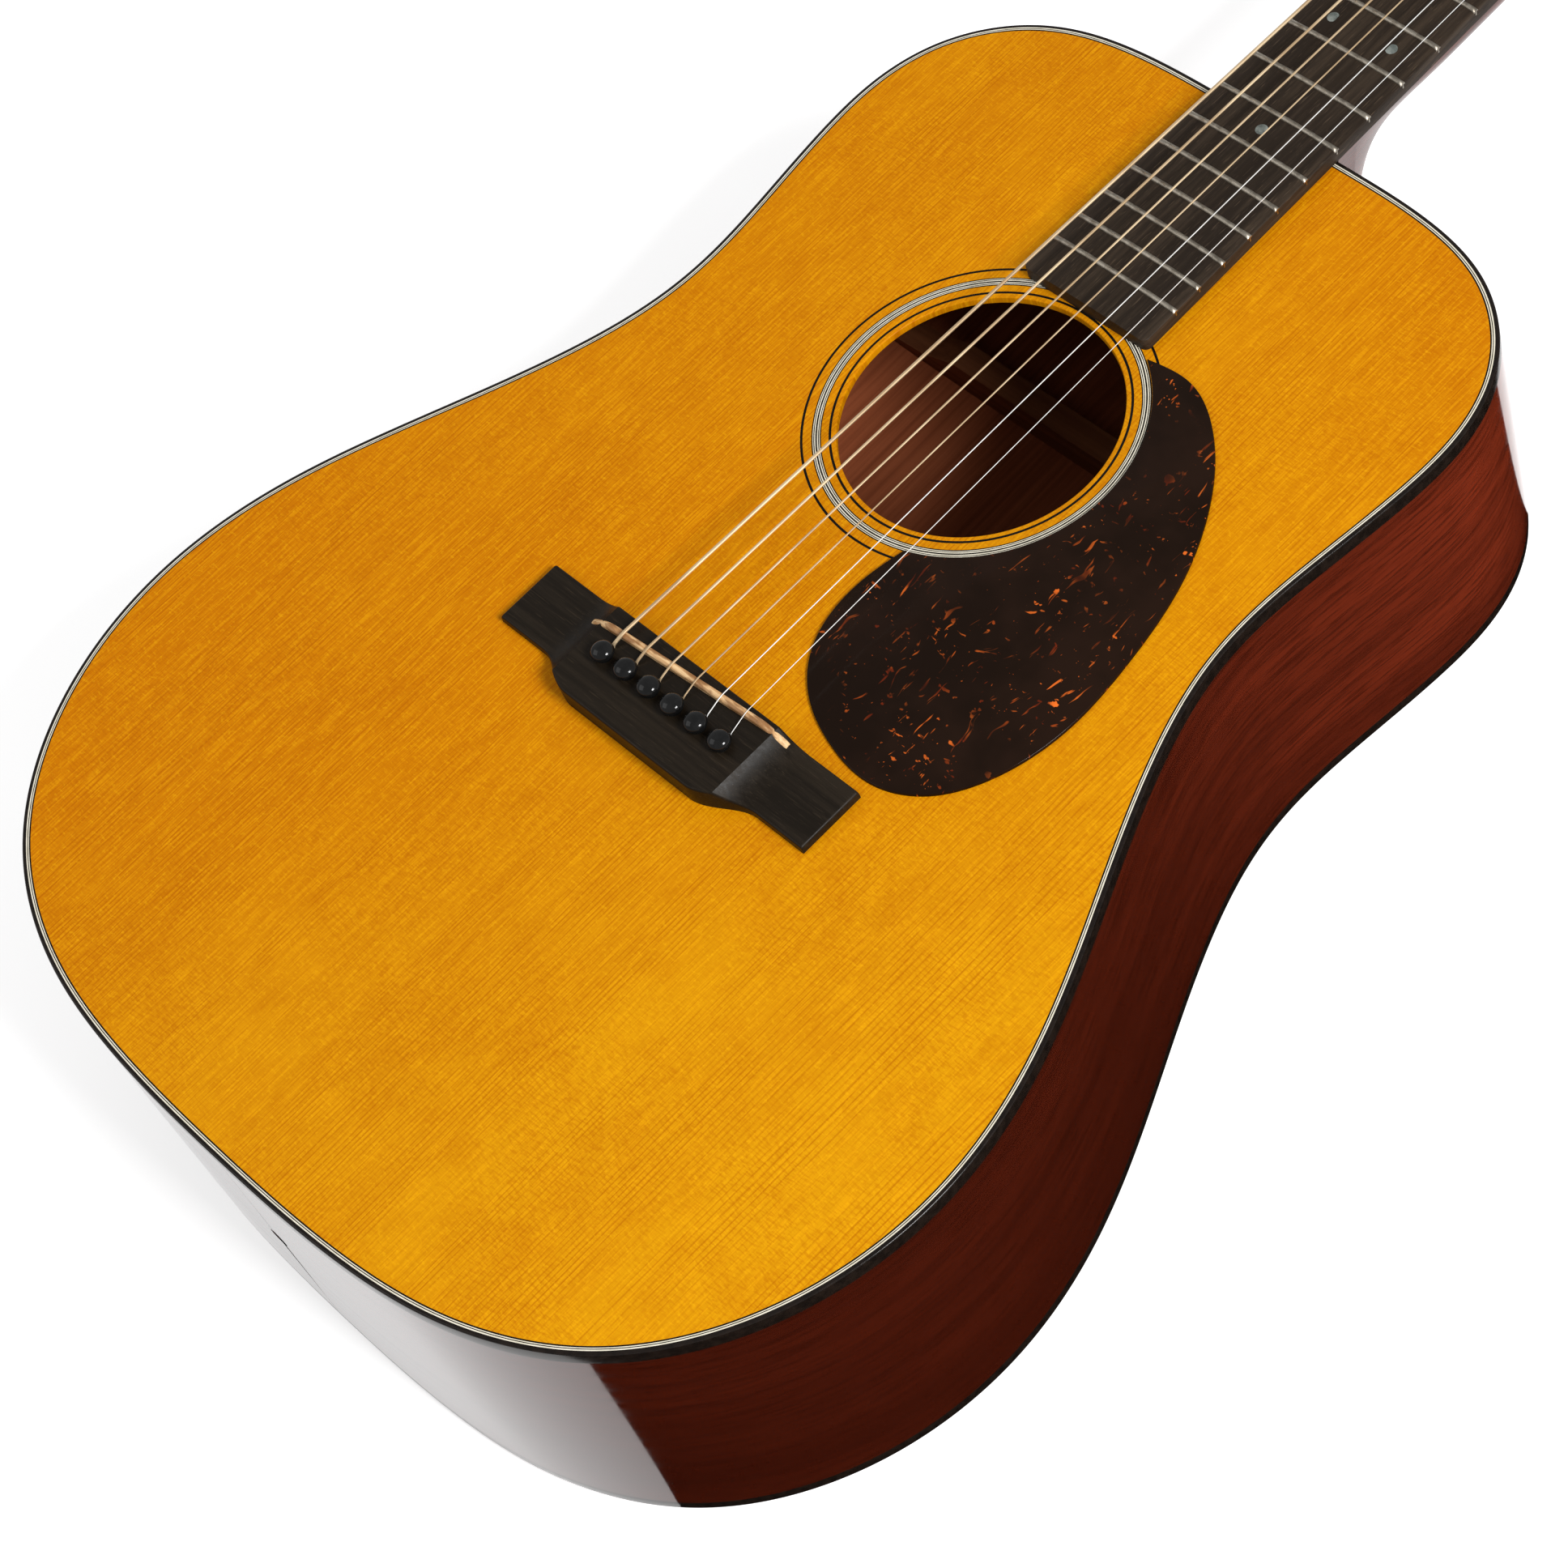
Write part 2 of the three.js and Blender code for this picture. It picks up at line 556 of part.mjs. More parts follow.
// Sections of the neck: [y, depth, share of heel shape, height of the top face].
const headTop = (y) => -(y - HEAD.start) * Math.tan(HEAD.tilt);
const SHAFT_DEPTH = 16.4;
const heelStation = (t) => [
  HEEL.start + (HEEL.foot - HEEL.start) * t,
  SHAFT_DEPTH + (HEEL.depth - SHAFT_DEPTH) * t ** HEEL.grows, t ** 3, 0,
];
const NECK_STATIONS = [
  [24, 13, 0, headTop(24)], [HEAD.start, 14.5, 0, 0], [-60, 15, 0, 0], [-150, 15.6, 0, 0],
  ...[0, 0.3, 0.5, 0.62, 0.72, 0.8, 0.86, 0.91, 0.95, 0.98, 1].map(heelStation),
  [BODY_NECK_Y + GAP, HEEL.depth, 1, 0],
];
const SECTION_SHARES = [0, 0.3, 0.55, 0.75, 0.9, 1];

function neckSection([y, depth, heel, top]) {
  const half = boardHalf(y);
  const sides = SECTION_SHARES.map((u) => {
    const round = Math.sqrt(1 - u * u);
    const width = Math.max(1.5, half * ((1 - heel) * round + heel * (0.5 + 0.5 * (1 - u) ** 1.8)));
    return [width, top - depth * u];
  });
  return [
    ...sides.map(([w, z]) => vec(w, y, z)),
    ...sides.reverse().map(([w, z]) => vec(-w, y, z)),
  ];
}

// Half-width of the head, a plain flared outline.
const headHalf = (y) => HEAD.half + (y - HEAD.flare) * HEAD.spread;
const intoHead = (geometry) => geometry.rotateX(-HEAD.tilt).translate(0, HEAD.start, 0);

function postPlace(row, side) {
  const y = POST.first + POST.pitch * row;
  return { x: side * (headHalf(y) - POST.edge), y };
}

const SIDES = [-1, 1];
const ROWS = [0, 1, 2];
const MACHINES = SIDES.flatMap((side) => ROWS.map((row) => ({ side, row, ...postPlace(row, side) })));

function neck() {
  const shaft = loft(NECK_STATIONS.map(neckSection));
  const edge = [[21.5, 0], [22.5, 10], [HEAD.half, HEAD.flare], [headHalf(HEAD.length - 3), HEAD.length - 3],
    [headHalf(HEAD.length) - 4, HEAD.length], [0, HEAD.length + 2]];
  const left = edge.slice(0, -1).reverse().map(([x, y]) => [-x, y]);
  const headShape = new THREE.Shape([...edge, ...left].map(([x, y]) => new THREE.Vector2(x, y)));
  const head = intoHead(plate(headShape, -HEAD.thick, HEAD.thick));
  const tenon = dovetail(0, BODY_NECK_Y + 2, tenonTop - DOVETAIL.height, tenonTop);
  const slotHalf = TRUSS_ROD.half + GAP;
  const rodSlot = box(
    -slotHalf, slotHalf, TRUSS_ROD.from - 2, TRUSS_ROD.to + 2, TRUSS_ROD.bottom - GAP, FRETBOARD.thickness,
  );
  const holes = MACHINES.map(({ x, y }) => (
    intoHead(post(x, y, -HEAD.thick - 5, 5, POST.r + GAP, RING_SIDES))
  ));
  return cut(join(shaft, head, tenon), rodSlot, ...holes);
}

const trussRod = () => (
  box(-TRUSS_ROD.half, TRUSS_ROD.half, TRUSS_ROD.from, TRUSS_ROD.to, TRUSS_ROD.bottom, 0)
);

const fretY = (n) => -SCALE_LENGTH * (1 - 2 ** (-n / 12));

// The board's side profile with its twenty fret crowns, spread to the board's width.
function fretboard() {
  const top = FRETBOARD.thickness;
  const crown = Array.from({ length: FRET_COUNT }, (_, i) => fretY(i + 1)).flatMap((y) => [
    [y + FRET.width / 2, top], [y + FRET.width / 4, top + FRET.height],
    [y - FRET.width / 4, top + FRET.height], [y - FRET.width / 2, top],
  ]);
  const profile = [[-GAP, GAP], [-GAP, top], ...crown, [FRETBOARD.end, top], [FRETBOARD.end, GAP]];
  const shape = new THREE.Shape(profile.map(([y, z]) => new THREE.Vector2(y, z)));
  const geometry = new THREE.ExtrudeGeometry(shape, { depth: 1, bevelEnabled: false });
  const position = geometry.attributes.position;
  for (let i = 0; i < position.count; i += 1) {
    const [y, z, side] = [position.getX(i), position.getY(i), position.getZ(i)];
    position.setXYZ(i, (side * 2 - 1) * boardHalf(y), y, z);
  }
  return geometry;
}

// The nut's front view, with a slot for each string, carried along the neck.
function nut() {
  const half = FRETBOARD.nutHalf;
  const floor = stringHeight(0) - 0.5;
  const slots = STRING_RADII.flatMap((r, i) => {
    const x = stringX(i, STRING_SPACING.nut);
    const wide = r + GAP;
    return [[x - wide, NUT.top], [x - wide, floor - r], [x + wide, floor - r], [x + wide, NUT.top]];
  });
  const corners = [[-half, GAP], [-half, NUT.top], ...slots, [half, NUT.top], [half, GAP]];
  const shape = new THREE.Shape(corners.map(([x, z]) => new THREE.Vector2(x, z)));
  const geometry = new THREE.ExtrudeGeometry(shape, { depth: NUT.length - GAP, bevelEnabled: false });
  return geometry.rotateX(Math.PI / 2).translate(0, NUT.length - GAP, 0);
}

// ---------------------------------------------------------------- strings
// Height of a string's middle on its way from the nut to the saddle.
function stringHeight(share) {
  const atNut = FRETBOARD.thickness + FRET.height + 1;
  const atSaddle = SADDLE.top + 1.1;
  return atNut + (atSaddle - atNut) * share;
}

// A path that bends only at its own points, so a tube along it has one step between each two.
class Route extends THREE.Curve {
  constructor(points) {
    super();
    this.points = points;
  }

  getPoint(t, target = new THREE.Vector3()) {
    const place = t * (this.points.length - 1);
    const i = Math.min(Math.floor(place), this.points.length - 2);
    return target.lerpVectors(this.points[i], this.points[i + 1], place - i);
  }

  getPointAt(u, target) {
    return this.getPoint(u, target);
  }

  getTangentAt(u, target = new THREE.Vector3()) {
    const last = this.points.length - 1;
    const i = Math.round(u * last);
    const before = this.points[Math.max(i - 1, 0)];
    const after = this.points[Math.min(i + 1, last)];
    return target.copy(after).sub(before).normalize();
  }
}

function tube(points, radius) {
  const path = new Route(points);
  const shape = new THREE.Shape(ringOfPoints(0, 0, radius, RING_SIDES));
  const steps = points.length - 1;
  return new THREE.ExtrudeGeometry(shape, { steps, extrudePath: path, bevelEnabled: false });
}

// Bass strings go to the bass posts from the nut outwards, treble strings mirror them.
const machineOf = (i) => (i < 3 ? { side: -1, row: i } : { side: 1, row: 5 - i });

function stringRoute(i) {
  const r = STRING_RADII[i];
  const xNut = stringX(i, STRING_SPACING.nut);
  const xSaddle = stringX(i, STRING_SPACING.saddle);
  const xPin = stringX(i, PIN.spacing);
  const ySaddle = SADDLE.y + SADDLE.turn * xSaddle;
  const { side, row } = machineOf(i);
  const place = postPlace(row, side);
  const xEnd = place.x - side * (POST.r + r + GAP);
  const end = vec(xEnd, place.y, POST.wrap).applyAxisAngle(vec(1, 0, 0), -HEAD.tilt);
  end.y += HEAD.start;
  return [
    vec(xPin, PIN.y + PIN.headR + r + GAP, BRIDGE.high + GAP + r),
    vec(xSaddle, ySaddle - 1.6, SADDLE.top + 0.7 + r),
    vec(xSaddle, ySaddle + 1.6, stringHeight(1)),
    vec(xNut, 0, stringHeight(0)),
    vec(xNut, NUT.length, stringHeight(0) - 0.3),
    end,
  ];
}

// ---------------------------------------------------------------- tuning machines
const MACHINE_BACK = -HEAD.thick - GAP;
const BASE_LOW = MACHINE_BACK - MACHINE.baseThick;
const wormZ = BASE_LOW - WORM.drop;

// The base screws to the back of the head and carries the worm in two lugs.
function machineBase(x, y) {
  const { baseHalf, baseLength, lug, lugHalf, lugLow, lugNear, lugFar } = MACHINE;
  const base = box(x - baseHalf, x + baseHalf, y - baseLength, y + baseLength, BASE_LOW, MACHINE_BACK);
  const lugs = SIDES.map((s) => {
    const centre = x + s * lug;
    const low = BASE_LOW - lugLow;
    return box(centre - lugHalf, centre + lugHalf, y + lugNear, y + lugFar, low, BASE_LOW + GAP);
  });
  const bore = WORM.shaftR + GAP;
  const shaftHole = new THREE.CylinderGeometry(bore, bore, 4 * baseHalf, RING_SIDES);
  shaftHole.rotateZ(Math.PI / 2).translate(x, y + WORM.offset, wormZ);
  return cut(join(base, ...lugs), post(x, y, BASE_LOW - 1, MACHINE_BACK + 1, POST.r + GAP), shaftHole);
}

// The post stands through the head, with its gear wheel under the base.
function machinePost(x, y) {
  const { gearR, gearThick } = MACHINE;
  const under = BASE_LOW - GAP;
  return turned([
    [0, under - gearThick], [gearR, under - gearThick], [gearR, under], [POST.r, under],
    [POST.r, POST.above], [0, POST.above],
  ], 12).translate(x, y, 0);
}

// The worm, its shaft and the button on the shaft's outer end, which reaches past the head.
function machineButton(x, y, side) {
  const { wormHalf, shaftEnd, buttonHalf, buttonThick } = MACHINE;
  const reach = POST.edge + 4;
  const shaft = turned([
    [0, -shaftEnd], [WORM.shaftR, -shaftEnd], [WORM.shaftR, -wormHalf], [WORM.r, -wormHalf],
    [WORM.r, wormHalf], [WORM.shaftR, wormHalf], [WORM.shaftR, reach],
    [3, reach + 1], [3, reach + 4], [0, reach + 4],
  ], RING_SIDES);
  const oval = new THREE.Shape().absellipse(0, 0, ...buttonHalf, 0, 2 * Math.PI);
  const button = new THREE.ExtrudeGeometry(oval, {
    depth: buttonThick, bevelEnabled: false, curveSegments: 2 * RING_SIDES,
  });
  button.translate(0, 0, -buttonThick / 2).rotateX(Math.PI / 2).translate(0, 0, reach + buttonHalf[0] + 0.5);
  const piece = join(shaft, button);
  return piece.rotateY((side * Math.PI) / 2).translate(x, y + WORM.offset, wormZ);
}

// ---------------------------------------------------------------- assembly
const instrument = new THREE.Group();
const pieces = [
  mesh('soundboard', soundboard(), MATERIAL.spruce),
  mesh('back_plate', backPlate(), MATERIAL.mahogany),
  mesh('rib_treble', rib(trebleRun(GAP / 2, RIB_END)), MATERIAL.mahogany),
  mesh('rib_bass', rib(bassRun(GAP / 2, RIB_END)), MATERIAL.mahogany),
  mesh('neck_block', neckBlock(), MATERIAL.innerMahogany),
  mesh('end_block', endBlock(), MATERIAL.innerMahogany),
  mesh('top_binding', topBinding(), MATERIAL.binding),
  mesh('back_binding', backBinding(), MATERIAL.binding),
  mesh('x_brace_treble', xBrace(1, true), MATERIAL.braceSpruce),
  mesh('x_brace_bass', xBrace(-1, false), MATERIAL.braceSpruce),
  mesh('transverse_brace', transverseBrace(), MATERIAL.braceSpruce),
  mesh('bridge_plate', bridgePlate(), MATERIAL.innerMahogany),
  mesh('bridge', bridge(), MATERIAL.ebony),
  mesh('saddle', saddle(), MATERIAL.bone),
  mesh('pickguard', pickguard(), MATERIAL.tortoiseshell),
  mesh('neck', neck(), MATERIAL.mahogany),
  mesh('truss_rod', trussRod(), MATERIAL.steel),
  mesh('fretboard', fretboard(), MATERIAL.ebony),
  mesh('nut', nut(), MATERIAL.bone),
];
[['treble', trebleRun], ['bass', bassRun]].forEach(([side, run]) => {
  const between = run(BLOCK_HALF_WIDTH + 1, BLOCK_HALF_WIDTH + 1);
  pieces.push(mesh(`top_lining_${side}`, topLining(between), MATERIAL.innerMahogany));
  pieces.push(mesh(`back_lining_${side}`, backLining(between), MATERIAL.innerMahogany));
});
TONE_BAR.places.forEach((place, i) => {
  pieces.push(mesh(`tone_bar_${i + 1}`, toneBar(place), MATERIAL.braceSpruce));
});
BACK_BRACES.forEach((spec, i) => {
  pieces.push(mesh(`back_brace_${i + 1}`, backBrace(spec), MATERIAL.braceSpruce));
});
STRING_RADII.forEach((radius, i) => {
  const metal = i < 4 ? MATERIAL.bronze : MATERIAL.plainString;
  pieces.push(mesh(`bridge_pin_${i + 1}`, bridgePin(i), MATERIAL.plasticPin));
  pieces.push(mesh(`string_${i + 1}`, tube(stringRoute(i), radius), metal));
});
instrument.add(...pieces);

const headGroup = new THREE.Group();
headGroup.position.y = HEAD.start;
headGroup.rotation.x = -HEAD.tilt;
MACHINES.forEach(({ side, row, x, y }) => {
  const label = `${side < 0 ? 'bass' : 'treble'}_${row + 1}`;
  headGroup.add(
    mesh(`machine_base_${label}`, machineBase(x, y), MATERIAL.nickel),
    mesh(`machine_post_${label}`, machinePost(x, y), MATERIAL.nickel),
    mesh(`machine_button_${label}`, machineButton(x, y, side), MATERIAL.nickel),
  );
});
instrument.add(headGroup);

// Laid on the flat of its back, then moved to stand centred on the ground plane.
instrument.rotation.x = -Math.atan((RIM_DEPTH_TAIL - RIM_DEPTH_NECK) / BODY_LENGTH);
const guitar = new THREE.Group();
guitar.add(instrument);
guitar.updateMatrixWorld(true);
const bounds = new THREE.Box3().setFromObject(guitar, true);
const centre = bounds.getCenter(new THREE.Vector3());
instrument.position.set(-centre.x, -centre.y, -bounds.min.z);

export default guitar;
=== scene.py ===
import math

import bpy
import numpy as np
from mathutils import Matrix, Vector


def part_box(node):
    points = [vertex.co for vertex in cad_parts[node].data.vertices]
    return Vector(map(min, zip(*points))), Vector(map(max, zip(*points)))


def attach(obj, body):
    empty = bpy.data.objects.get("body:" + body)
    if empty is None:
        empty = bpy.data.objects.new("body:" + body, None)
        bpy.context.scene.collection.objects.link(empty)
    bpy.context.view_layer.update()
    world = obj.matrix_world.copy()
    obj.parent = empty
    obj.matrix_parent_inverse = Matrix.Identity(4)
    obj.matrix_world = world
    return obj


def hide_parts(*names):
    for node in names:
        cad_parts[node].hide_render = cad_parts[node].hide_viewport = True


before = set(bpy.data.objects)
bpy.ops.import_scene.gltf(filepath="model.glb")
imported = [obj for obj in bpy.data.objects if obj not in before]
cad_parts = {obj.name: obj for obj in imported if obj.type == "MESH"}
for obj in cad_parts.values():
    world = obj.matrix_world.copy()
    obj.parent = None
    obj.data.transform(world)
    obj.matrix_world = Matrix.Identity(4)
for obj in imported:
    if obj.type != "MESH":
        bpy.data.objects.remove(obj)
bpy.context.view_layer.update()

# A steel-string guitar's fine surfaces and finishes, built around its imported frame.
#
# Lengths are millimetres in the instrument frame: X runs across the neck towards the treble side, Y
# along the strings towards the head and Z up out of the soundboard. Y = 0 is the nut's playing edge
# and Z = 0 the face of the soundboard. place() turns them into metres in the frame's own axes.

# ---------------------------------------------------------------- driving dimensions
SCALE_LENGTH = 645.2
FRET_COUNT = 20
BODY_NECK_Y = -358.1
BODY_LENGTH = 512.7
RIM_DEPTH_NECK = 106
RIM_DEPTH_TAIL = 126
BACK_ARCH = 4
BACK_CENTRE_Y = -600
PLATE = 2.8
PLATE_INSET = 2.3
RIB = 2
TOP_BINDING = 6
BACK_BINDING = 5
TRIM = [("black", 1.55), ("ivory", 0.46), ("black", 0.32), ("ivory", 0.32), ("black", 0.55)]
SOUNDHOLE_Y = -511
SOUNDHOLE_R = 50.5
ROSETTE_LINES = [(52.3, 53.2), (62.45, 63.35)]
ROSETTE_START = 55.9
ROSETTE_PLIES = [0.42, 0.27, 0.33, 0.4, 0.56, 0.4, 0.33, 0.27, 0.42]
END_HOLE = {"r": 3.9, "drop": 62}
BOARD = {"end": -458, "thick": 6.3, "half": 21.5, "spread": 0.017, "camber": 406}
FRET = {"high": 1.0, "wide": 2.2, "bevel": 1.3}
DOTS = [(5, 0), (7, 0), (9, 0), (12, -13.5), (12, 13.5), (15, 0)]
HEEL_DEPTH = 103
HEEL_START = -285
HEEL_FOOT = -348
BRIDGE = {"front": -645, "wing_back": -671.7, "belly_back": -680.5, "half": 75.8, "high": 9.2, "wing": 3.6}
SADDLE = {"half": 45.7, "y": -650.6, "turn": 0.067, "thick": 2.6, "top": 11.6}
PIN = {"y": -662, "spacing": 11.7, "r": 4.3}
STRING_GAP_NUT = 7.2
STRING_GAP_SADDLE = 11.4
STRING_RADII = [0.67, 0.53, 0.4, 0.3, 0.2, 0.15]
HEAD = {"tilt": math.radians(15), "start": 5, "length": 190, "thick": 15, "veneer": 1.6}
HEAD_HALF = {"base": 31, "flare": 28, "spread": 0.04}
POST = {"first": 45, "pitch": 38, "edge": 9.5, "r": 3.1, "above": 17, "wrap": 8}
WORM = {"offset": 7.9, "drop": 3.6, "r": 2.4, "shaft": 1.3}
MACHINE_BACK = -15.3
BASE_THICK = 1.5
GEAR_TEETH = 14
PICKGUARD_THICK = 1
PICKGUARD_LIFT = 0.3

# Half of the body's outline: distance from the centre line, distance from the tail.
HALF_OUTLINE = [
    [60, 2.1], [101, 9.2], [150, 34], [184.4, 79.8], [197.2, 141], [190, 186.5], [172.2, 232],
    [145.4, 291.9], [133.6, 336], [132.8, 351], [135, 380.5], [140, 425.7], [140.2, 441],
    [132.6, 472], [116.6, 492.5], [101, 502.7], [70.2, 510.8], [35, 512.6],
]
# The pickguard's free edge, from the soundhole's neck side round to its bridge side.
PICKGUARD_EDGE = [
    [32, -460.5], [50.4, -459.2], [70, -469], [89, -490.2], [104, -520.8], [111.3, -555.4],
    [112.8, -586.2], [106.2, -613], [93, -631.6], [75.4, -639.6], [54.2, -637.4], [35, -629],
    [21.7, -615], [16, -597.7], [16.2, -580.4], [19, -567],
]
PICKGUARD_ROSETTE = 59.6
EYE = (738.261, -952.569, 1069.143)
LOOK = (-0.52816, 0.22869, -0.81777)
EYE_RIGHT = (0.67605, 0.69599, -0.24200)
LENS = 91.78
CARD = [(145, -1600), (900, -1600), (900, 600), (120, 600), (120, -760), (145, -800)]
SENSOR = 36

TAIL_Y = BODY_NECK_Y - BODY_LENGTH
SLOPE = math.atan((RIM_DEPTH_TAIL - RIM_DEPTH_NECK) / BODY_LENGTH)
board_low, board_high = (np.array(corner) * 1000 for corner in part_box("soundboard"))
SHIFT_Y = board_low[1] - (TAIL_Y + PLATE_INSET) * math.cos(SLOPE) + PLATE * math.sin(SLOPE)
SHIFT_Z = board_high[2] + (TAIL_Y + PLATE_INSET) * math.sin(SLOPE)
SIDES = (-1, 1)
SIDE_NAMES = {-1: "bass", 1: "treble"}


# ---------------------------------------------------------------- places
def turn_down(points, angle):
    """The points turned about the X axis so that +Y dips by the angle."""
    p = np.asarray(points, float)
    c, s = math.cos(angle), math.sin(angle)
    return np.stack([p[..., 0], p[..., 1] * c + p[..., 2] * s, p[..., 2] * c - p[..., 1] * s], -1)


def place(points):
    """Instrument millimetres to frame metres: a turn by the body's slope, then a shift."""
    return (turn_down(points, SLOPE) + [0, SHIFT_Y, SHIFT_Z]) / 1000


def on_head(points):
    """Points measured on the tilted head, from its start, with Z = 0 on its face."""
    return turn_down(points, HEAD["tilt"]) + [0, HEAD["start"], 0]


def unit(vectors):
    return vectors / np.maximum(np.linalg.norm(vectors, axis=-1, keepdims=True), 1e-9)


def circle(count):
    """Evenly spaced angles once round, without the last one repeated."""
    return np.arange(count) * 2 * math.pi / count


def smooth_step(x, low, high):
    """0 below low, 1 above high, and 3t² - 2t³ between them."""
    t = np.clip((np.asarray(x, float) - low) / (high - low), 0, 1)
    return t * t * (3 - 2 * t)


# ---------------------------------------------------------------- meshes
def skin(grid, rows=False, columns=True, caps=True, uv=None, inner=False):
    """A closed shell over a grid of points. Quads join neighbouring rows and columns; rows=True and
    columns=True also join the last to the first, and caps are flat ends on the first and last rows.
    The faces are turned outwards by the sign of the volume that they enclose."""
    grid = np.asarray(grid, float)
    count, width = grid.shape[:2]
    row = np.arange(count if rows else count - 1)[:, None]
    column = np.arange(width if columns else width - 1)[None, :]
    below, beside = (row + 1) % count, (column + 1) % width
    corners = [row * width + column, row * width + beside, below * width + beside, below * width + column]
    quads = np.stack(np.broadcast_arrays(*corners), -1)
    marks = np.broadcast_to(inner, quads.shape[:2]).ravel()
    points = grid.reshape(-1, 3)
    loops = quads.reshape(-1, 4)
    a, b, c, d = (points[loops[:, k]] for k in range(4))
    volume = np.sum(np.cross(a, b) * c) + np.sum(np.cross(a, c) * d)
    flat, sizes = loops.ravel(), np.full(len(loops), 4)
    if caps and not rows:
        first, last = np.arange(width)[::-1], np.arange(width) + (count - 1) * width
        for ring in (first, last):
            p = points[ring]
            volume += np.sum(np.cross(p[1:-1], p[2:]) * p[0])
        flat = np.concatenate([flat, first, last])
        sizes = np.concatenate([sizes, [width, width]])
        marks = np.concatenate([marks, [False, False]])
    if volume < 0:
        ends = np.cumsum(sizes)
        owner = np.repeat(np.arange(len(sizes)), sizes)
        flat = flat[(ends - sizes)[owner] + ends[owner] - 1 - np.arange(len(flat))]
    uv = np.zeros((len(points), 2)) if uv is None else np.asarray(uv, float).reshape(-1, 2)
    return points, flat, sizes, uv / 1000, marks


def piece(name, shells, finishes, body="root", stands_for=(), sharp=32):
    """One object from shells in instrument millimetres, riding on a body of the frame."""
    shells = shells if isinstance(shells, list) else [shells]
    finishes = finishes if isinstance(finishes, list) else [finishes]
    starts = np.cumsum([0] + [len(s[0]) for s in shells[:-1]])
    points = place(np.concatenate([s[0] for s in shells]))
    loops = np.concatenate([s[1] + start for s, start in zip(shells, starts)])
    sizes, uv, marks = (np.concatenate([s[k] for s in shells]) for k in (2, 3, 4))
    mesh = bpy.data.meshes.new(name)
    mesh.vertices.add(len(points))
    mesh.vertices.foreach_set("co", points.astype(np.float32).ravel())
    mesh.loops.add(len(loops))
    mesh.loops.foreach_set("vertex_index", loops.astype(np.int32))
    mesh.polygons.add(len(sizes))
    mesh.polygons.foreach_set("loop_start", (np.cumsum(sizes) - sizes).astype(np.int32))
    mesh.polygons.foreach_set("material_index", marks.astype(np.int32))
    mesh.uv_layers.new(name="UVMap").data.foreach_set("uv", uv[loops].astype(np.float32).ravel())
    mesh.update(calc_edges=True)
    mesh.shade_smooth()
    mesh.set_sharp_from_angle(angle=math.radians(sharp))
    for finish in finishes:
        mesh.materials.append(finish)
    made = bpy.data.objects.new(name, mesh)
    bpy.context.scene.collection.objects.link(made)
    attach(made, body)
    if stands_for:
        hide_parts(*stands_for)
    return made


def lathe(profile, x=0.0, y=0.0, sides=32):
    """A turned grid: each [radius, height] pair is one ring round the upright axis at (x, y)."""
    r, z = np.asarray(profile, float).T
    a = circle(sides)
    ring = np.stack([np.cos(a), np.sin(a)], -1)
    flat = np.maximum(r, 0.01)[:, None, None] * ring + [x, y]
    return np.concatenate([flat, np.broadcast_to(z[:, None, None], flat.shape[:2] + (1,))], -1)


def tube(path, radius, sides=10, across=(1, 0, 0)):
    """A round section carried along a path, each ring square to it; UV is length and girth."""
    path = np.asarray(path, float)
    ahead = unit(np.gradient(path, axis=0))
    first = unit(np.cross(ahead, across))
    second = np.cross(ahead, first)
    a = circle(sides)[None, :, None]
    radius = np.broadcast_to(radius, len(path))[:, None, None]
    grid = path[:, None] + radius * (np.cos(a) * first[:, None] + np.sin(a) * second[:, None])
    steps = np.linalg.norm(np.diff(path, axis=0), axis=1)
    length = np.concatenate([[0], np.cumsum(steps)])
    uv = np.stack(np.broadcast_arrays(length[:, None], circle(sides)[None, :]), -1)
    return skin(grid, uv=uv)


def slab(loop, low, high, rounding=0.4, steps=4):
    """A flat plate over a closed loop, whose upper edge is a quarter circle of the given radius."""
    ahead = unit(np.roll(loop, -1, 0) - np.roll(loop, 1, 0))
    area = np.sum(loop[:, 0] * np.roll(loop[:, 1], -1) - np.roll(loop[:, 0], -1) * loop[:, 1])
    inward = np.stack([-ahead[:, 1], ahead[:, 0]], -1) * math.copysign(1, area)
    turn = np.linspace(0, math.pi / 2, steps)
    insets = np.concatenate([[0], rounding * (1 - np.cos(turn))])
    heights = np.concatenate([[low], high - rounding * (1 - np.sin(turn))])
    rings = loop[None] + insets[:, None, None] * inward[None]
    z = np.broadcast_to(heights[:, None, None], rings.shape[:2] + (1,))
    return np.concatenate([rings, z], -1)


def evenly(points, count, closed=False):
    """Points at equal steps of length along a run of straight stretches."""
    if closed:
        points = np.vstack([points, points[:1]])
    length = np.concatenate([[0], np.cumsum(np.linalg.norm(np.diff(points, axis=0), axis=1))])
    at = np.linspace(0, length[-1], count + closed)[:count]
    return np.stack([np.interp(at, length, column) for column in points.T], -1)


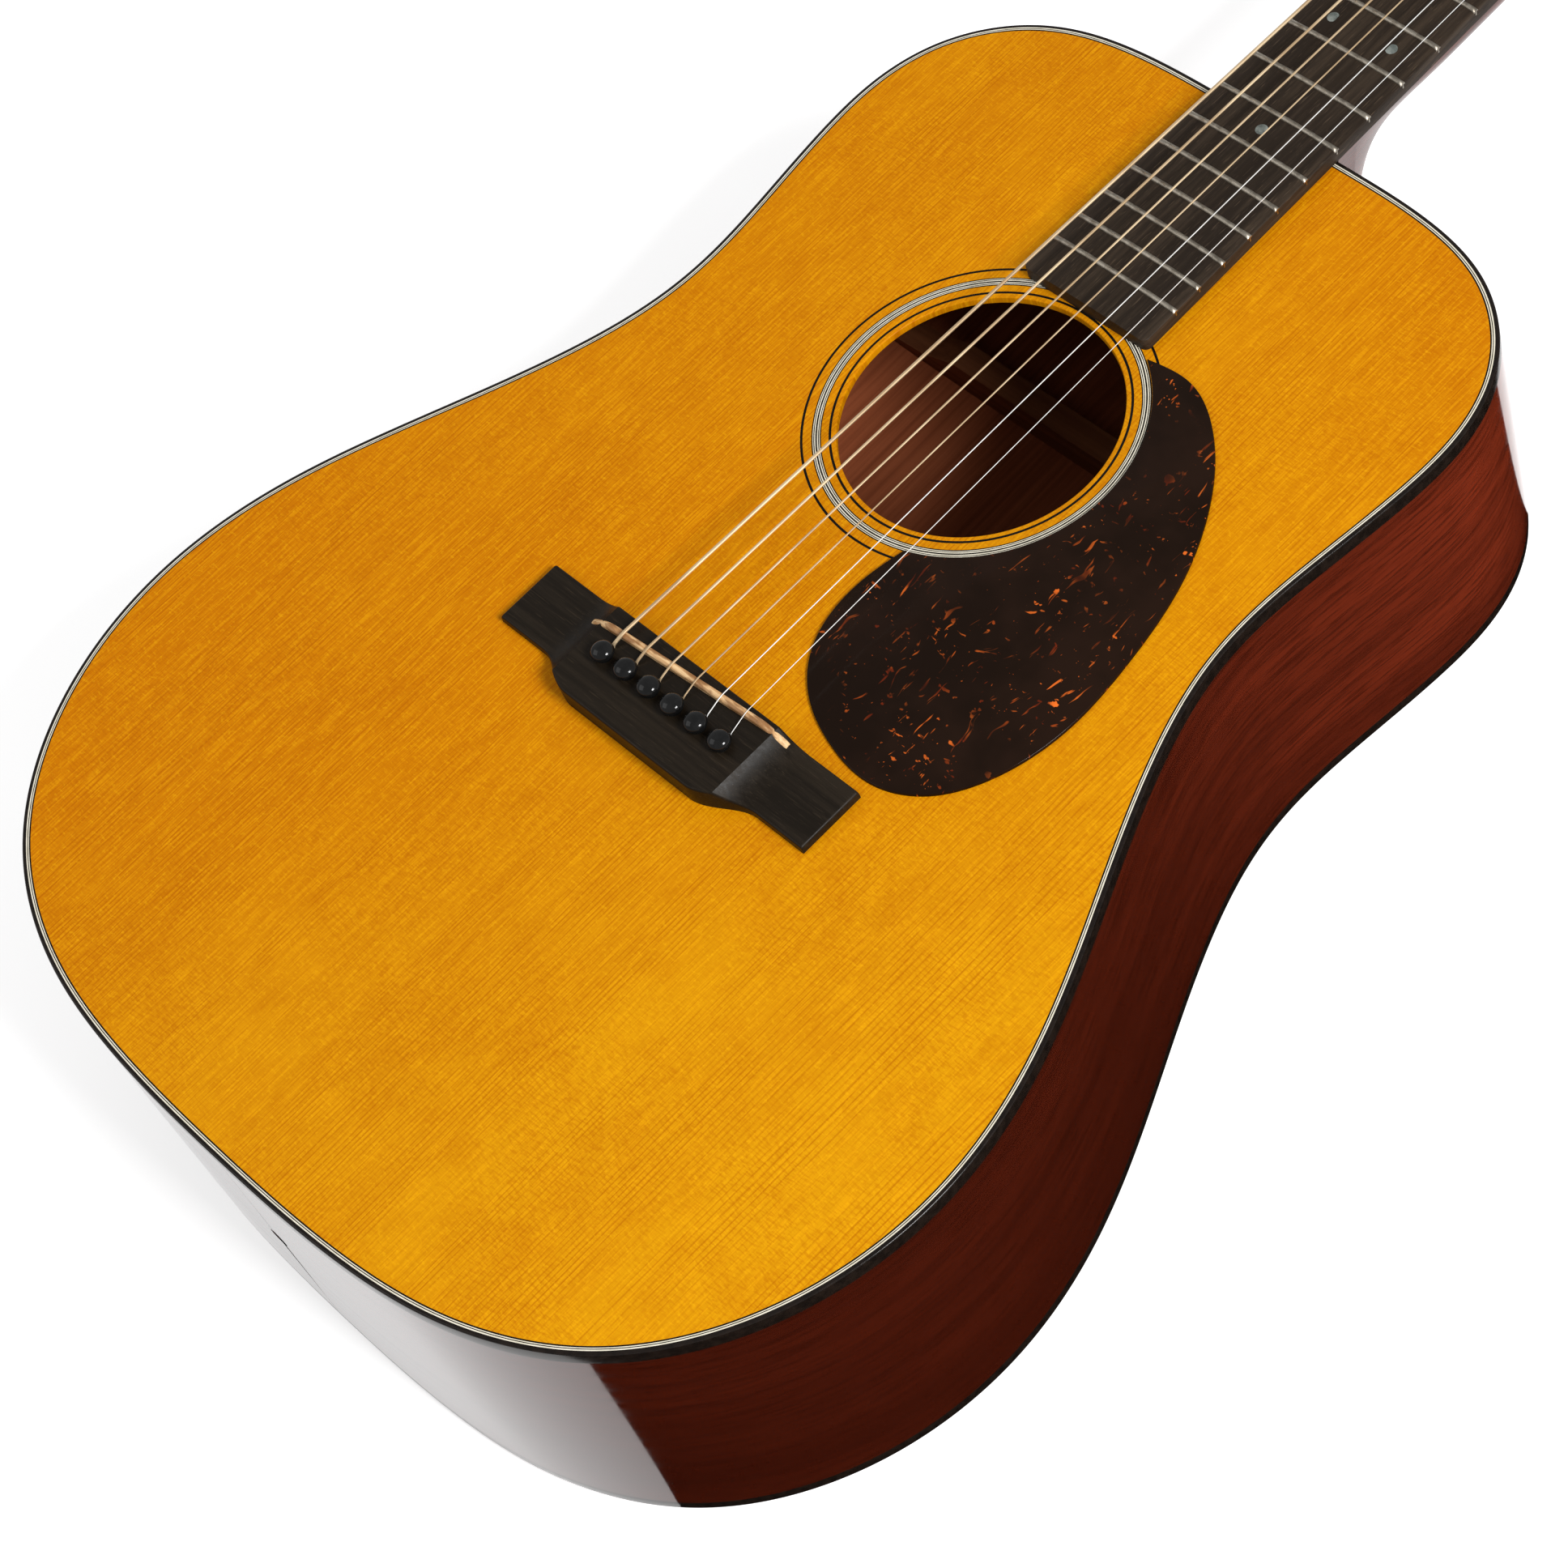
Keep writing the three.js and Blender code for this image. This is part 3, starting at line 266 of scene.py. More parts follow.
def cubic_run(points, closed):
    """A curve of continuous curvature through points: cubics by chord length, whose second
    derivatives solve the tridiagonal system, cyclic on a closed curve and zero at open ends."""
    points = np.asarray(points, float)
    n = len(points)
    after = np.roll(points, -1, 0)
    h = np.linalg.norm(after - points, axis=1)
    slope = (after - points) / h[:, None]
    i = np.arange(n)
    system = np.zeros((n, n))
    system[i, i] = 2 * (h + np.roll(h, 1))
    system[i, (i + 1) % n] = h
    system[i, i - 1] = np.roll(h, 1)
    change = 6 * (slope - np.roll(slope, 1, 0))
    if not closed:
        system[[0, -1]] = np.eye(n)[[0, -1]]
        change[[0, -1]] = 0
    bend = np.linalg.solve(system, change)
    t = (np.arange(24) / 24)[None, :, None]
    s, size = 1 - t, h[:, None, None] ** 2 / 6
    run = s * points[:, None] + t * after[:, None]
    run = run + size * ((s**3 - s) * bend[:, None] + (t**3 - t) * np.roll(bend, -1, 0)[:, None])
    return run.reshape(-1, 2) if closed else np.vstack([run[:-1].reshape(-1, 2), points[-1:]])


def rounded(points, reach, steps=7):
    """A path with each inner corner replaced by the parabola that leaves and meets its two sides."""
    points = np.asarray(points, float)
    before, corner, after = points[:-2], points[1:-1], points[2:]
    back, on = before - corner, after - corner
    cut = np.minimum(reach, 0.4 * np.minimum(np.linalg.norm(back, axis=1), np.linalg.norm(on, axis=1)))
    start, end = corner + unit(back) * cut[:, None], corner + unit(on) * cut[:, None]
    t = np.linspace(0, 1, steps)[None, :, None]
    bends = (1 - t) ** 2 * start[:, None] + 2 * t * (1 - t) * corner[:, None] + t**2 * end[:, None]
    return np.vstack([points[:1], bends.reshape(-1, 3), points[-1:]])


# ---------------------------------------------------------------- finishes
class Wire:
    """A socket in a finish's node tree; arithmetic on it adds the Math nodes."""

    def __init__(self, finish, socket):
        self.finish, self.socket = finish, socket

    def maths(self, operation, *values):
        return self.finish.node("ShaderNodeMath", {"operation": operation}, dict(enumerate(values)))

    def __add__(self, other):
        return self.maths("ADD", self, other)

    def __sub__(self, other):
        return self.maths("SUBTRACT", self, other)

    def __rsub__(self, other):
        return self.maths("SUBTRACT", other, self)

    def __mul__(self, other):
        return self.maths("MULTIPLY", self, other)

    def __truediv__(self, other):
        return self.maths("DIVIDE", self, other)

    def __pow__(self, other):
        return self.maths("POWER", self, other)

    __radd__, __rmul__ = __add__, __mul__


class Finish:
    """A procedural material whose nodes are added one at a time."""

    def __init__(self, name):
        self.material = bpy.data.materials.new(name)
        self.material.use_nodes = True
        self.tree = self.material.node_tree
        self.shader = self.tree.nodes["Principled BSDF"]

    def node(self, kind, settings=None, sockets=None, output=0):
        """Adds a node: its settings, with a ramp's stops, then each socket's value or wire."""
        made = self.tree.nodes.new(kind)
        for key, value in (settings or {}).items():
            if key != "stops":
                setattr(made, key, value)
                continue
            ends = made.color_ramp.elements
            for element, (at, shade) in zip((ends[0], ends[1]), (value[0], value[-1])):
                element.position, element.color = at, (*shade, 1)
            for at, shade in value[1:-1]:
                ends.new(at).color = (*shade, 1)
        for key, value in (sockets or {}).items():
            self.feed(made.inputs[key], value)
        return Wire(self, made.outputs[output])

    def feed(self, socket, value):
        if isinstance(value, Wire):
            self.tree.links.new(value.socket, socket)
        else:
            socket.default_value = value

    def place_on(self, source="Object", stretch=(1, 1, 1), shift=(0, 0, 0), turn=(0, 0, 0)):
        """Coordinates on the piece, in metres, stretched along the axes."""
        where = self.node("ShaderNodeTexCoord", output=source)
        sockets = {"Vector": where, "Scale": stretch, "Location": shift, "Rotation": turn}
        return self.node("ShaderNodeMapping", {}, sockets)

    def noise(self, where, scale, detail=3.0, rough=0.5, twist=0.0):
        sockets = {"Vector": where, "Scale": scale, "Detail": detail, "Roughness": rough, "Distortion": twist}
        return self.node("ShaderNodeTexNoise", {}, sockets)

    def spread(self, value, low, high, to_low=0.0, to_high=1.0):
        """The value's range from low to high carried to another range and kept inside it."""
        sockets = {0: value, 1: low, 2: high, 3: to_low, 4: to_high}
        return self.node("ShaderNodeMapRange", {"interpolation_type": "SMOOTHSTEP"}, sockets)

    def blend(self, factor, first, second, mode="MIX"):
        settings = {"data_type": "RGBA", "blend_type": mode}
        return self.node("ShaderNodeMix", settings, {0: factor, 6: first, 7: second}, output=2)

    def bump(self, height, strength, distance):
        return self.node("ShaderNodeBump", {}, {"Height": height, "Strength": strength, "Distance": distance})

    def done(self, **sockets):
        for name, value in sockets.items():
            self.feed(self.shader.inputs[name.replace("_", " ")], value)
        return self.material


def colour(red, green, blue):
    return (red, green, blue, 1)


def spruce_top():
    """Amber spruce under old lacquer: growth lines along the guitar, close in the middle and wider
    towards the edges, short silk flecks across them, and soft blotches; painted shade darkens the
    bass side, the tail and the neck end, and painted light brightens the treble side of the tail."""
    f = Finish("amber spruce")
    flat = f.place_on()
    x, y = (f.node("ShaderNodeSeparateXYZ", {}, {0: flat}, output=k) for k in (0, 1))
    away = f.node("ShaderNodeMath", {"operation": "ABSOLUTE"}, {0: x})
    wander = f.noise(f.place_on(stretch=(11, 1.6, 1)), 1, 2)
    crowd = f.noise(f.place_on(stretch=(70, 0.8, 1)), 1, 2)
    turn = (x + wander * 0.012) * (4300 - away * 3600) + crowd * 9
    growth = f.spread(f.node("ShaderNodeMath", {"operation": "SINE"}, {0: turn}), 0.35, 1.0)
    growth = growth * f.spread(f.noise(f.place_on(stretch=(45, 2.5, 1)), 1, 2), 0.36, 0.62, 0.25, 1.0)
    fibre = f.noise(f.place_on(stretch=(1500, 60, 1)), 1, 3, 0.6)
    silk = f.noise(f.place_on(stretch=(260, 1300, 1)), 1, 2, 0.6)
    silk_patch = f.spread(f.noise(flat, 17, 3), 0.35, 0.65, 0.35, 1.0)
    bands = f.noise(f.place_on(stretch=(26, 1.1, 1)), 1, 2, 0.5)
    cloud = f.noise(f.place_on(stretch=(9, 6, 1)), 1, 4, 0.6)
    mottle = f.noise(flat, 60, 4, 0.65)
    base = f.blend(f.spread(cloud, 0.34, 0.66), colour(0.575, 0.205, 0.0005), colour(0.645, 0.262, 0.001))
    # painted shade: the top is darker towards the bass side and the tail
    deep = f.spread(x * -1.6 - y * 0.9, 0.0, 0.76)
    base = f.blend(deep * 0.8, base, colour(0.545, 0.158, 0.0004))
    # painted light: the top is brighter towards the treble side of the tail
    bright = f.spread(x * 1.3 - y * 1.1, 0.3, 0.62)
    base = f.blend(bright * 0.55, base, colour(0.68, 0.325, 0.003))
    base = f.blend(f.spread(mottle, 0.42, 0.66) * 0.28, base, colour(0.50, 0.150, 0.0004))
    base = f.blend(f.spread(bands, 0.5, 0.7) * 0.2, base, colour(0.48, 0.135, 0.0004))
    # painted shade: the top is darker towards the neck end, more so on the treble side
    upper = f.spread(x * 0.8 + y * 1.2, -0.15, 0.08)
    base = f.blend(upper * 0.85, base, colour(0.52, 0.155, 0.0003))
    base = f.blend(growth * 0.58, base, colour(0.40, 0.100, 0.0002))
    base = f.blend(f.spread(fibre, 0.45, 0.65) * 0.32, base, colour(0.90, 0.42, 0.004))
    base = f.blend(f.spread(silk, 0.46, 0.62) * silk_patch * 0.36, base, colour(0.42, 0.105, 0.0002))
    glint = f.noise(f.place_on(stretch=(480, 900, 1)), 1, 2, 0.6)
    base = f.blend(f.spread(glint, 0.55, 0.7) * 0.2, base, colour(0.95, 0.50, 0.006))
    relief = growth * 0.4 + fibre * 0.3 + silk * silk_patch * 0.4
    return f.done(
        Base_Color=base,
        Roughness=f.spread(cloud + fibre * 0.2, 0.35, 0.85, 0.28, 0.4),
        Normal=f.bump(relief, 0.08, 0.0004),
        Specular_IOR_Level=0.05,
    )


def mahogany(name, source, along, dark, light, rough, level=0.5, coat=0.0, shade=0.0):
    """Mahogany whose grain runs along one axis: ribbon bands, streaks, dashes and short dark pores,
    with painted shade that darkens it towards the tail by the shade."""
    f = Finish(name)

    def grain(across, long):
        stretch = [across] * 3
        stretch[along] = long
        return f.place_on(source, tuple(stretch))

    def darker(share):
        return tuple(share * c for c in dark[:3]) + (1,)

    ribbon = f.noise(grain(16, 2), 1, 3, 0.5)
    streak = f.noise(grain(170, 5), 1, 3, 0.6)
    dash = f.noise(grain(640, 44), 1, 3, 0.6)
    pore = f.spread(f.noise(grain(950, 80), 1, 2), 0.56, 0.68)
    base = f.blend(f.spread(ribbon, 0.3, 0.7), dark, light)
    base = f.blend(f.spread(streak, 0.42, 0.7) * 0.38, base, darker(0.45))
    base = f.blend(f.spread(dash, 0.46, 0.64) * 0.5, base, darker(0.3))
    base = f.blend(pore * 0.3, base, darker(0.2))
    # painted shade: the colour darkens towards the tail, as strongly as the shade asks
    if shade:
        tail = f.node("ShaderNodeSeparateXYZ", {}, {0: f.place_on()}, output=1)
        base = f.blend(f.spread(tail, -0.02, -0.36) * shade, base, darker(0.35))
    return f.done(
        Base_Color=base,
        Roughness=f.spread(streak, 0.3, 0.7, rough, rough + 0.05),
        Normal=f.bump(streak, 0.03, 0.0002),
        Specular_IOR_Level=level,
        Coat_Weight=coat,
        Coat_Roughness=0.04,
    )


def plain_wood(name, dark, light, along=1):
    """Unfinished inner wood with straight, faint grain."""
    f = Finish(name)
    stretch = [320] * 3
    stretch[along] = 7
    grain = f.noise(f.place_on(stretch=tuple(stretch)), 1, 4, 0.6)
    cloud = f.noise(f.place_on(), 18, 3)
    base = f.blend(f.spread(grain * 0.7 + cloud * 0.3, 0.35, 0.65), dark, light)
    return f.done(
        Base_Color=base,
        Roughness=f.spread(cloud, 0.3, 0.7, 0.62, 0.8),
        Normal=f.bump(grain, 0.15, 0.0004),
        Specular_IOR_Level=0.06,
    )


def ebony(name, base_dark, base_light, rough=0.42, along=1):
    """Oiled ebony: near black with fine grey-brown streaks and open pores along one axis."""
    f = Finish(name)

    def grain(across, long):
        stretch = [across] * 3
        stretch[along] = long
        return f.place_on(stretch=tuple(stretch))

    streak = f.noise(grain(420, 12), 1, 4, 0.65)
    broad = f.noise(grain(60, 6), 1, 3)
    pore = f.spread(f.noise(grain(2200, 120), 1, 2), 0.6, 0.72)
    base = f.blend(f.spread(streak * 0.6 + broad * 0.4, 0.4, 0.66), base_dark, base_light)
    base = f.blend(pore * 0.5, base, tuple(2.1 * c for c in base_light[:3]) + (1,))
    return f.done(
        Base_Color=base,
        Roughness=f.spread(streak, 0.3, 0.7, rough - 0.06, rough + 0.1),
        Normal=f.bump(streak * 0.6 - pore, 0.08, 0.0003),
        Specular_IOR_Level=0.13,
    )


def tortoiseshell():
    """Dark brown celluloid with clustered orange flecks, short wisps and fine dust."""
    f = Finish("tortoiseshell")
    at = f.place_on()

    def swayed(scale, reach):
        push = f.node("ShaderNodeTexNoise", {}, {"Vector": at, "Scale": scale, "Detail": 3}, output=1)
        return f.node("ShaderNodeVectorMath", {"operation": "MULTIPLY_ADD"}, {0: push, 1: (reach,) * 3, 2: at})

    bent, ragged = swayed(22, 0.03), swayed(330, 0.005)
    patch = f.spread(f.noise(at, 38, 3, 0.55), 0.36, 0.6)
    warm = f.blend(
        f.spread(f.noise(at, 110, 2), 0.35, 0.62), colour(0.16, 0.018, 0.003), colour(0.80, 0.155, 0.018)
    )
    ground = f.spread(f.noise(at, 30, 3, 0.6), 0.4, 0.7)
    base = f.blend(ground, colour(0.0085, 0.0035, 0.0015), colour(0.0145, 0.006, 0.003))
    for stretch, low, strength in (((620, 95, 100), 0.65, 0.75), ((230, 420, 100), 0.67, 0.7)):
        wisp = f.noise(f.node("ShaderNodeMapping", {}, {"Vector": bent, "Scale": stretch}), 1, 2, 0.5)
        base = f.blend(f.spread(wisp, low, low + 0.06) * patch * strength, base, warm)
    for scale, most, strength in ((140, 0.33, 1.0), (300, 0.3, 0.9), (620, 0.28, 0.7)):
        spots = f.node("ShaderNodeTexVoronoi", {"feature": "F1"}, {"Vector": ragged, "Scale": scale})
        size = f.spread(f.noise(at, scale * 0.5, 2), 0.52, 0.74, 0.0, most)
        base = f.blend(f.spread(size - spots, 0.0, 0.05) * patch * strength, base, warm)
    return f.done(
        Base_Color=base,
        Roughness=f.spread(f.noise(at, 40, 3), 0.3, 0.7, 0.12, 0.2),
        Normal=f.bump(f.noise(at, 120, 2), 0.02, 0.0004),
        Specular_IOR_Level=0.1,
    )


def smooth_stuff(name, base, tint, rough, metal=0.0, level=0.5, scale=300, bump=0.05, clear=0.0):
    """A polished or cast material: slight cloudy tint, uneven polish and small handling marks."""
    f = Finish(name)
    at = f.place_on()
    cloud = f.noise(at, scale, 3, 0.6)
    marks = f.noise(at, scale * 5, 2, 0.6)
    shade = f.blend(f.spread(cloud, 0.35, 0.65), base, tint)
    return f.done(
        Base_Color=shade,
        Metallic=metal,
        Roughness=f.spread(cloud * 0.6 + marks * 0.4, 0.3, 0.7, rough, rough * 1.5),
        Normal=f.bump(marks, bump, 0.0002),
        Specular_IOR_Level=level,
        Coat_Weight=clear,
        Coat_Roughness=0.05,
    )


def bone():
    """Aged bone: tan with brown streaks and patches along its length and small dark flecks."""
    f = Finish("aged bone")
    streak = f.noise(f.place_on(stretch=(60, 900, 500)), 1, 4, 0.6)
    patch = f.noise(f.place_on(stretch=(75, 260, 200)), 1, 3, 0.6)
    flecks = f.noise(f.place_on(stretch=(400, 1500, 1500)), 1, 2)
    base = f.blend(f.spread(streak, 0.35, 0.66), colour(0.50, 0.27, 0.11), colour(0.80, 0.55, 0.29))
    base = f.blend(f.spread(patch, 0.46, 0.6) * 0.85, base, colour(0.24, 0.105, 0.035))
    base = f.blend(f.spread(flecks, 0.64, 0.72) * 0.6, base, colour(0.16, 0.07, 0.025))
    return f.done(
        Base_Color=base,
        Roughness=f.spread(streak, 0.3, 0.7, 0.3, 0.42),
        Normal=f.bump(streak, 0.08, 0.0002),
        Specular_IOR_Level=0.3,
    )


def wound_string():
    """Bronze wire wrapped round a core: the wraps are ridges along the string's own length, with
    painted shade in the grooves between them.
    """
    f = Finish("bronze winding")
    where = f.node("ShaderNodeTexCoord", output="UV")
    length = f.node("ShaderNodeSeparateXYZ", {}, {0: where})
    ridge = f.node("ShaderNodeMath", {"operation": "SINE"}, {0: length * (2 * math.pi / 0.00042)})
    stain = f.noise(f.place_on(stretch=(200, 30, 200)), 1, 3)
    base = f.blend(f.spread(stain, 0.35, 0.65), colour(0.56, 0.39, 0.22), colour(0.78, 0.60, 0.38))
    # painted shade: the grooves between the wraps are darkened
    base = f.blend(f.spread(ridge, -1, 0.2, 0.12, 0.0), base, colour(0.22, 0.12, 0.07))
    return f.done(Base_Color=base, Metallic=0.6, Roughness=f.spread(stain, 0.3, 0.7, 0.3, 0.42),
                  Normal=f.bump(ridge, 0.12, 0.0001))


def all_finishes():
    red_dark, red_light = colour(0.056, 0.0078, 0.0030), colour(0.132, 0.0172, 0.0058)
    return {
        "spruce": spruce_top(),
        # the sides' last argument, 0.78, is the strength of their painted shade towards the tail
        "sides": mahogany("glossy mahogany sides", "UV", 0, red_dark, red_light, 0.06, 0.2, 0.16, 0.78),
        "back": mahogany("glossy mahogany back", "Object", 1, red_dark, red_light, 0.09),
        "neck": mahogany("satin mahogany", "Object", 1, red_dark, red_light, 0.26, 0.4),
        "bare": plain_wood("bare mahogany", colour(0.20, 0.052, 0.020), colour(0.32, 0.090, 0.036)),
        "bare_top": plain_wood("bare spruce", colour(0.46, 0.27, 0.12), colour(0.62, 0.40, 0.20)),
        "brace": plain_wood("brace spruce", colour(0.15, 0.050, 0.020), colour(0.22, 0.080, 0.032), 0),
        "maple": plain_wood("bare maple", colour(0.42, 0.26, 0.14), colour(0.58, 0.40, 0.24), 0),
        "lining": plain_wood("kerfed lining wood", colour(0.22, 0.10, 0.05), colour(0.32, 0.16, 0.085)),
        "ebony": ebony("oiled ebony", colour(0.018, 0.0120, 0.0080), colour(0.044, 0.030, 0.0195)),
        "bridge": ebony("bridge ebony", colour(0.0085, 0.0058, 0.0034), colour(0.018, 0.0125, 0.0075), 0.38, 0),
        "veneer": ebony("rosewood veneer", colour(0.030, 0.012, 0.007), colour(0.085, 0.034, 0.018), 0.3),
        "shell": tortoiseshell(),
        "binding": smooth_stuff("black binding", colour(0.006, 0.004, 0.003), colour(0.011, 0.007, 0.005), 0.14, 0, 0.2),
        "line": smooth_stuff("black line", colour(0.004, 0.003, 0.002), colour(0.008, 0.006, 0.004), 0.4, 0, 0.1),
        "ivory": smooth_stuff("ivory line", colour(0.66, 0.61, 0.48), colour(0.78, 0.73, 0.60), 0.35, 0, 0.2),
        "pin": smooth_stuff("black pin", colour(0.004, 0.004, 0.004), colour(0.007, 0.007, 0.007), 0.1, 0, 0.28),
        "pearl": smooth_stuff("shell inlay", colour(0.10, 0.115, 0.105), colour(0.22, 0.24, 0.22), 0.25, 0, 0.3),
        "bone": bone(),
        "nut": smooth_stuff("nut bone", colour(0.62, 0.52, 0.34), colour(0.76, 0.67, 0.48), 0.3, 0, 0.3),
        "nickel": smooth_stuff("polished nickel", colour(0.58, 0.56, 0.52), colour(0.72, 0.70, 0.66), 0.2, 1.0),
        "fret": smooth_stuff("nickel silver", colour(0.24, 0.21, 0.17), colour(0.40, 0.36, 0.30), 0.3, 1.0),
        "bronze": wound_string(),
        "steel": smooth_stuff("plain steel", colour(0.86, 0.85, 0.82), colour(0.96, 0.95, 0.92), 0.3, 0.55),
        "bar": smooth_stuff("steel bar", colour(0.30, 0.30, 0.30), colour(0.40, 0.40, 0.40), 0.4, 1.0),
    }


finish = all_finishes()


# ---------------------------------------------------------------- camera, light and floor
def camera():
    """The eye in the instrument frame, turned with the body into the frame's axes."""
    data = bpy.data.cameras.new("camera")
    data.lens, data.sensor_width = LENS, SENSOR
    data.clip_start, data.clip_end = 0.05, 60
    right, back = turn_down(EYE_RIGHT, SLOPE), -turn_down(LOOK, SLOPE)
    axes = np.stack([right, np.cross(back, right), back], -1)
    made = bpy.data.objects.new("camera", data)
    made.matrix_world = Matrix.Translation(place(EYE)) @ Matrix(axes.tolist()).to_4x4()
    bpy.context.scene.collection.objects.link(made)
    bpy.context.scene.camera = made


def area_light(name, spot, aim, size, watts):
    """A square soft light at one spot, facing another; both are frame metres."""
    data = bpy.data.lights.new(name, "AREA")
    data.shape, data.size, data.energy = "SQUARE", size, watts
    made = bpy.data.objects.new(name, data)
    away = unit(np.subtract(spot, aim))
    side = unit(np.cross((0, 1, 0.01), away))
    axes = np.stack([side, np.cross(away, side), away], -1)
    made.matrix_world = Matrix.Translation(spot) @ Matrix(axes.tolist()).to_4x4()
    bpy.context.scene.collection.objects.link(made)


def studio():
    """White surroundings, one soft key light over the treble shoulder, a fill, and a pale floor."""
    world = bpy.data.worlds.new("white studio")
    world.use_nodes = True
    world.node_tree.nodes["Background"].inputs["Color"].default_value = colour(1, 1, 1)
    world.node_tree.nodes["Background"].inputs["Strength"].default_value = 0.46
    scene = bpy.context.scene
    scene.world = world
    scene.view_settings.view_transform = "Standard"
    area_light("key light", (2.15, 0.0, 1.9), (0, -0.15, 0.1), 0.8, 84)
    area_light("fill light", (-1.6, -1.8, 2.2), (0, -0.1, 0.1), 1.8, 12)
    black_card()
    floor = flat_square("floor", 30, -0.0003)
    pale = smooth_stuff("pale floor", colour(0.93, 0.93, 0.93), colour(0.95, 0.95, 0.95), 0.7, 0, 0.1, 3, 0.0)
    glow = pale.node_tree.nodes["Principled BSDF"].inputs
    glow["Emission Color"].default_value, glow["Emission Strength"].default_value = colour(1, 1, 1), 0.5
    floor.data.materials.append(pale)


def black_card():
    """A dark card beside the treble side, seen only in reflections: it keeps the gloss of that side
    dark between a white stretch at the tail and another at the shoulder."""
    corners = place([[x, y, 0] for x, y in CARD]) * [1, 1, 0] + [0, 0, 0.002]
    mesh = bpy.data.meshes.new("black card")
    mesh.from_pydata(corners.tolist(), [], [tuple(range(len(CARD)))])
    mesh.materials.append(smooth_stuff("black card", colour(0, 0, 0), colour(0.002, 0.002, 0.002), 1, 0, 0))
    card = bpy.data.objects.new("black card", mesh)
    bpy.context.scene.collection.objects.link(card)
    card.visible_camera = card.visible_diffuse = card.visible_shadow = False


def flat_square(name, half, height):
    mesh = bpy.data.meshes.new(name)
    corners = [(-half, -half, height), (half, -half, height), (half, half, height), (-half, half, height)]
    mesh.from_pydata(corners, [], [(0, 1, 2, 3)])
    made = bpy.data.objects.new(name, mesh)
    bpy.context.scene.collection.objects.link(made)
    return made


# ---------------------------------------------------------------- the body's outline
def body_outline(count=960, reach=9.0):
    """The closed outline, counter-clockwise from the tail. A cubic run through the points is spaced
    evenly, and its Fourier terms are multiplied by 2g - g², with g a Gaussian of the reach, which
    takes out short waves and leaves the long bends where they are."""
    half = np.array(HALF_OUTLINE) + [0, TAIL_Y]
    ring = np.vstack([[[0, TAIL_Y]], half, [[0, BODY_NECK_Y]], half[::-1] * [-1, 1]])
    curve = evenly(cubic_run(ring, True), count, True)
    step = np.linalg.norm(curve[1] - curve[0])
    wave = 2 * math.pi * np.fft.fftfreq(count, step)
    g = np.exp(-((wave * reach) ** 2) / 2)
    eased = np.fft.ifft(np.fft.fft(curve[:, 0] + 1j * curve[:, 1]) * g * (2 - g))
    return np.stack([eased.real, eased.imag], -1)


OUTLINE = body_outline()
HALFWAY = len(OUTLINE) // 2


def inset(distance, ring=OUTLINE):
    """The outline moved inwards along its own normals."""
    ahead = unit(np.roll(ring, -1, 0) - np.roll(ring, 1, 0))
    return ring + distance * np.stack([-ahead[:, 1], ahead[:, 0]], -1)


def rim(y):
    """Height of the back's edge, deeper towards the tail."""
    share = (BODY_NECK_Y - y) / BODY_LENGTH
    return -(RIM_DEPTH_NECK + (RIM_DEPTH_TAIL - RIM_DEPTH_NECK) * share)


def strip(section):
    """A closed strip round the body. Each corner of its section is [distance inside, height, share
    of the rim's depth], so a height may follow the back's edge."""
    rings = []
    for distance, height, follows in section:
        ring = inset(distance)
        rings.append(np.column_stack([ring, height + follows * rim(ring[:, 1])]))
    return skin(np.stack(rings, 1), rows=True)


def quarter(radius, steps=5):
    """Offsets of a quarter circle from an upright side to a flat top: [inwards, down]."""
    a = np.linspace(0, math.pi / 2, steps)
    return np.stack([radius * (1 - np.cos(a)), radius * (1 - np.sin(a))], -1)


def bindings():
    width, edge = TRIM[0][1], 0.7
    top = [[0, -TOP_BINDING, 0]] + [[i, -d, 0] for i, d in quarter(edge)] + [[width, 0, 0], [width, -TOP_BINDING, 0]]
    piece("top_binding_strip", strip(top), finish["binding"], stands_for=["top_binding"])
    low = [[RIB, BACK_BINDING, 1], [RIB, 0, 1]] + [[i, d, 1] for i, d in quarter(edge)[::-1]]
    low += [[0, BACK_BINDING, 1]]
    piece("back_binding_strip", strip(low), finish["binding"], stands_for=["back_binding"])


def purfling():
    """The thin lines between the top's binding and the spruce."""
    start = TRIM[0][1]
    for i, (shade, width) in enumerate(TRIM[1:]):
        section = [[start, 0, 0], [start + width, 0, 0], [start + width, -1.2, 0], [start, -1.2, 0]]
        look = finish["ivory" if shade == "ivory" else "line"]
        piece(f"purfling_{i + 1}", strip(section), look)
        start += width


def soundboard():
    """A sheet between the soundhole and the outline. Each column runs from a point on the hole's
    rim straight to the outline's point at the same bearing, and the section goes up the hole's
    wall, over its rounded lip, out to the edge and back underneath."""
    edge = inset(sum(width for _, width in TRIM))
    bearing = unit(edge - [0, SOUNDHOLE_Y])
    hole = [0, SOUNDHOLE_Y] + bearing * SOUNDHOLE_R
    lip = quarter(0.5, 4)
    shares = np.array([0.12, 0.3, 0.5, 0.7, 0.88, 1.0])
    rings = [np.column_stack([hole, np.full(len(hole), -PLATE)])]
    rings += [np.column_stack([hole + bearing * i, np.full(len(hole), -d)]) for i, d in lip]
    rings += [np.column_stack([hole + (edge - hole) * s, np.zeros(len(hole))]) for s in shares]
    rings += [np.column_stack([hole + (edge - hole) * s, np.full(len(hole), -PLATE)]) for s in shares[::-1]]
    inner = (np.arange(len(rings)) >= len(rings) - len(shares))[:, None]
    shell = skin(np.stack(rings, 0), rows=True, inner=inner)
    looks = [finish["spruce"], finish["bare_top"]]
    piece("spruce_soundboard", shell, looks, stands_for=["soundboard"])


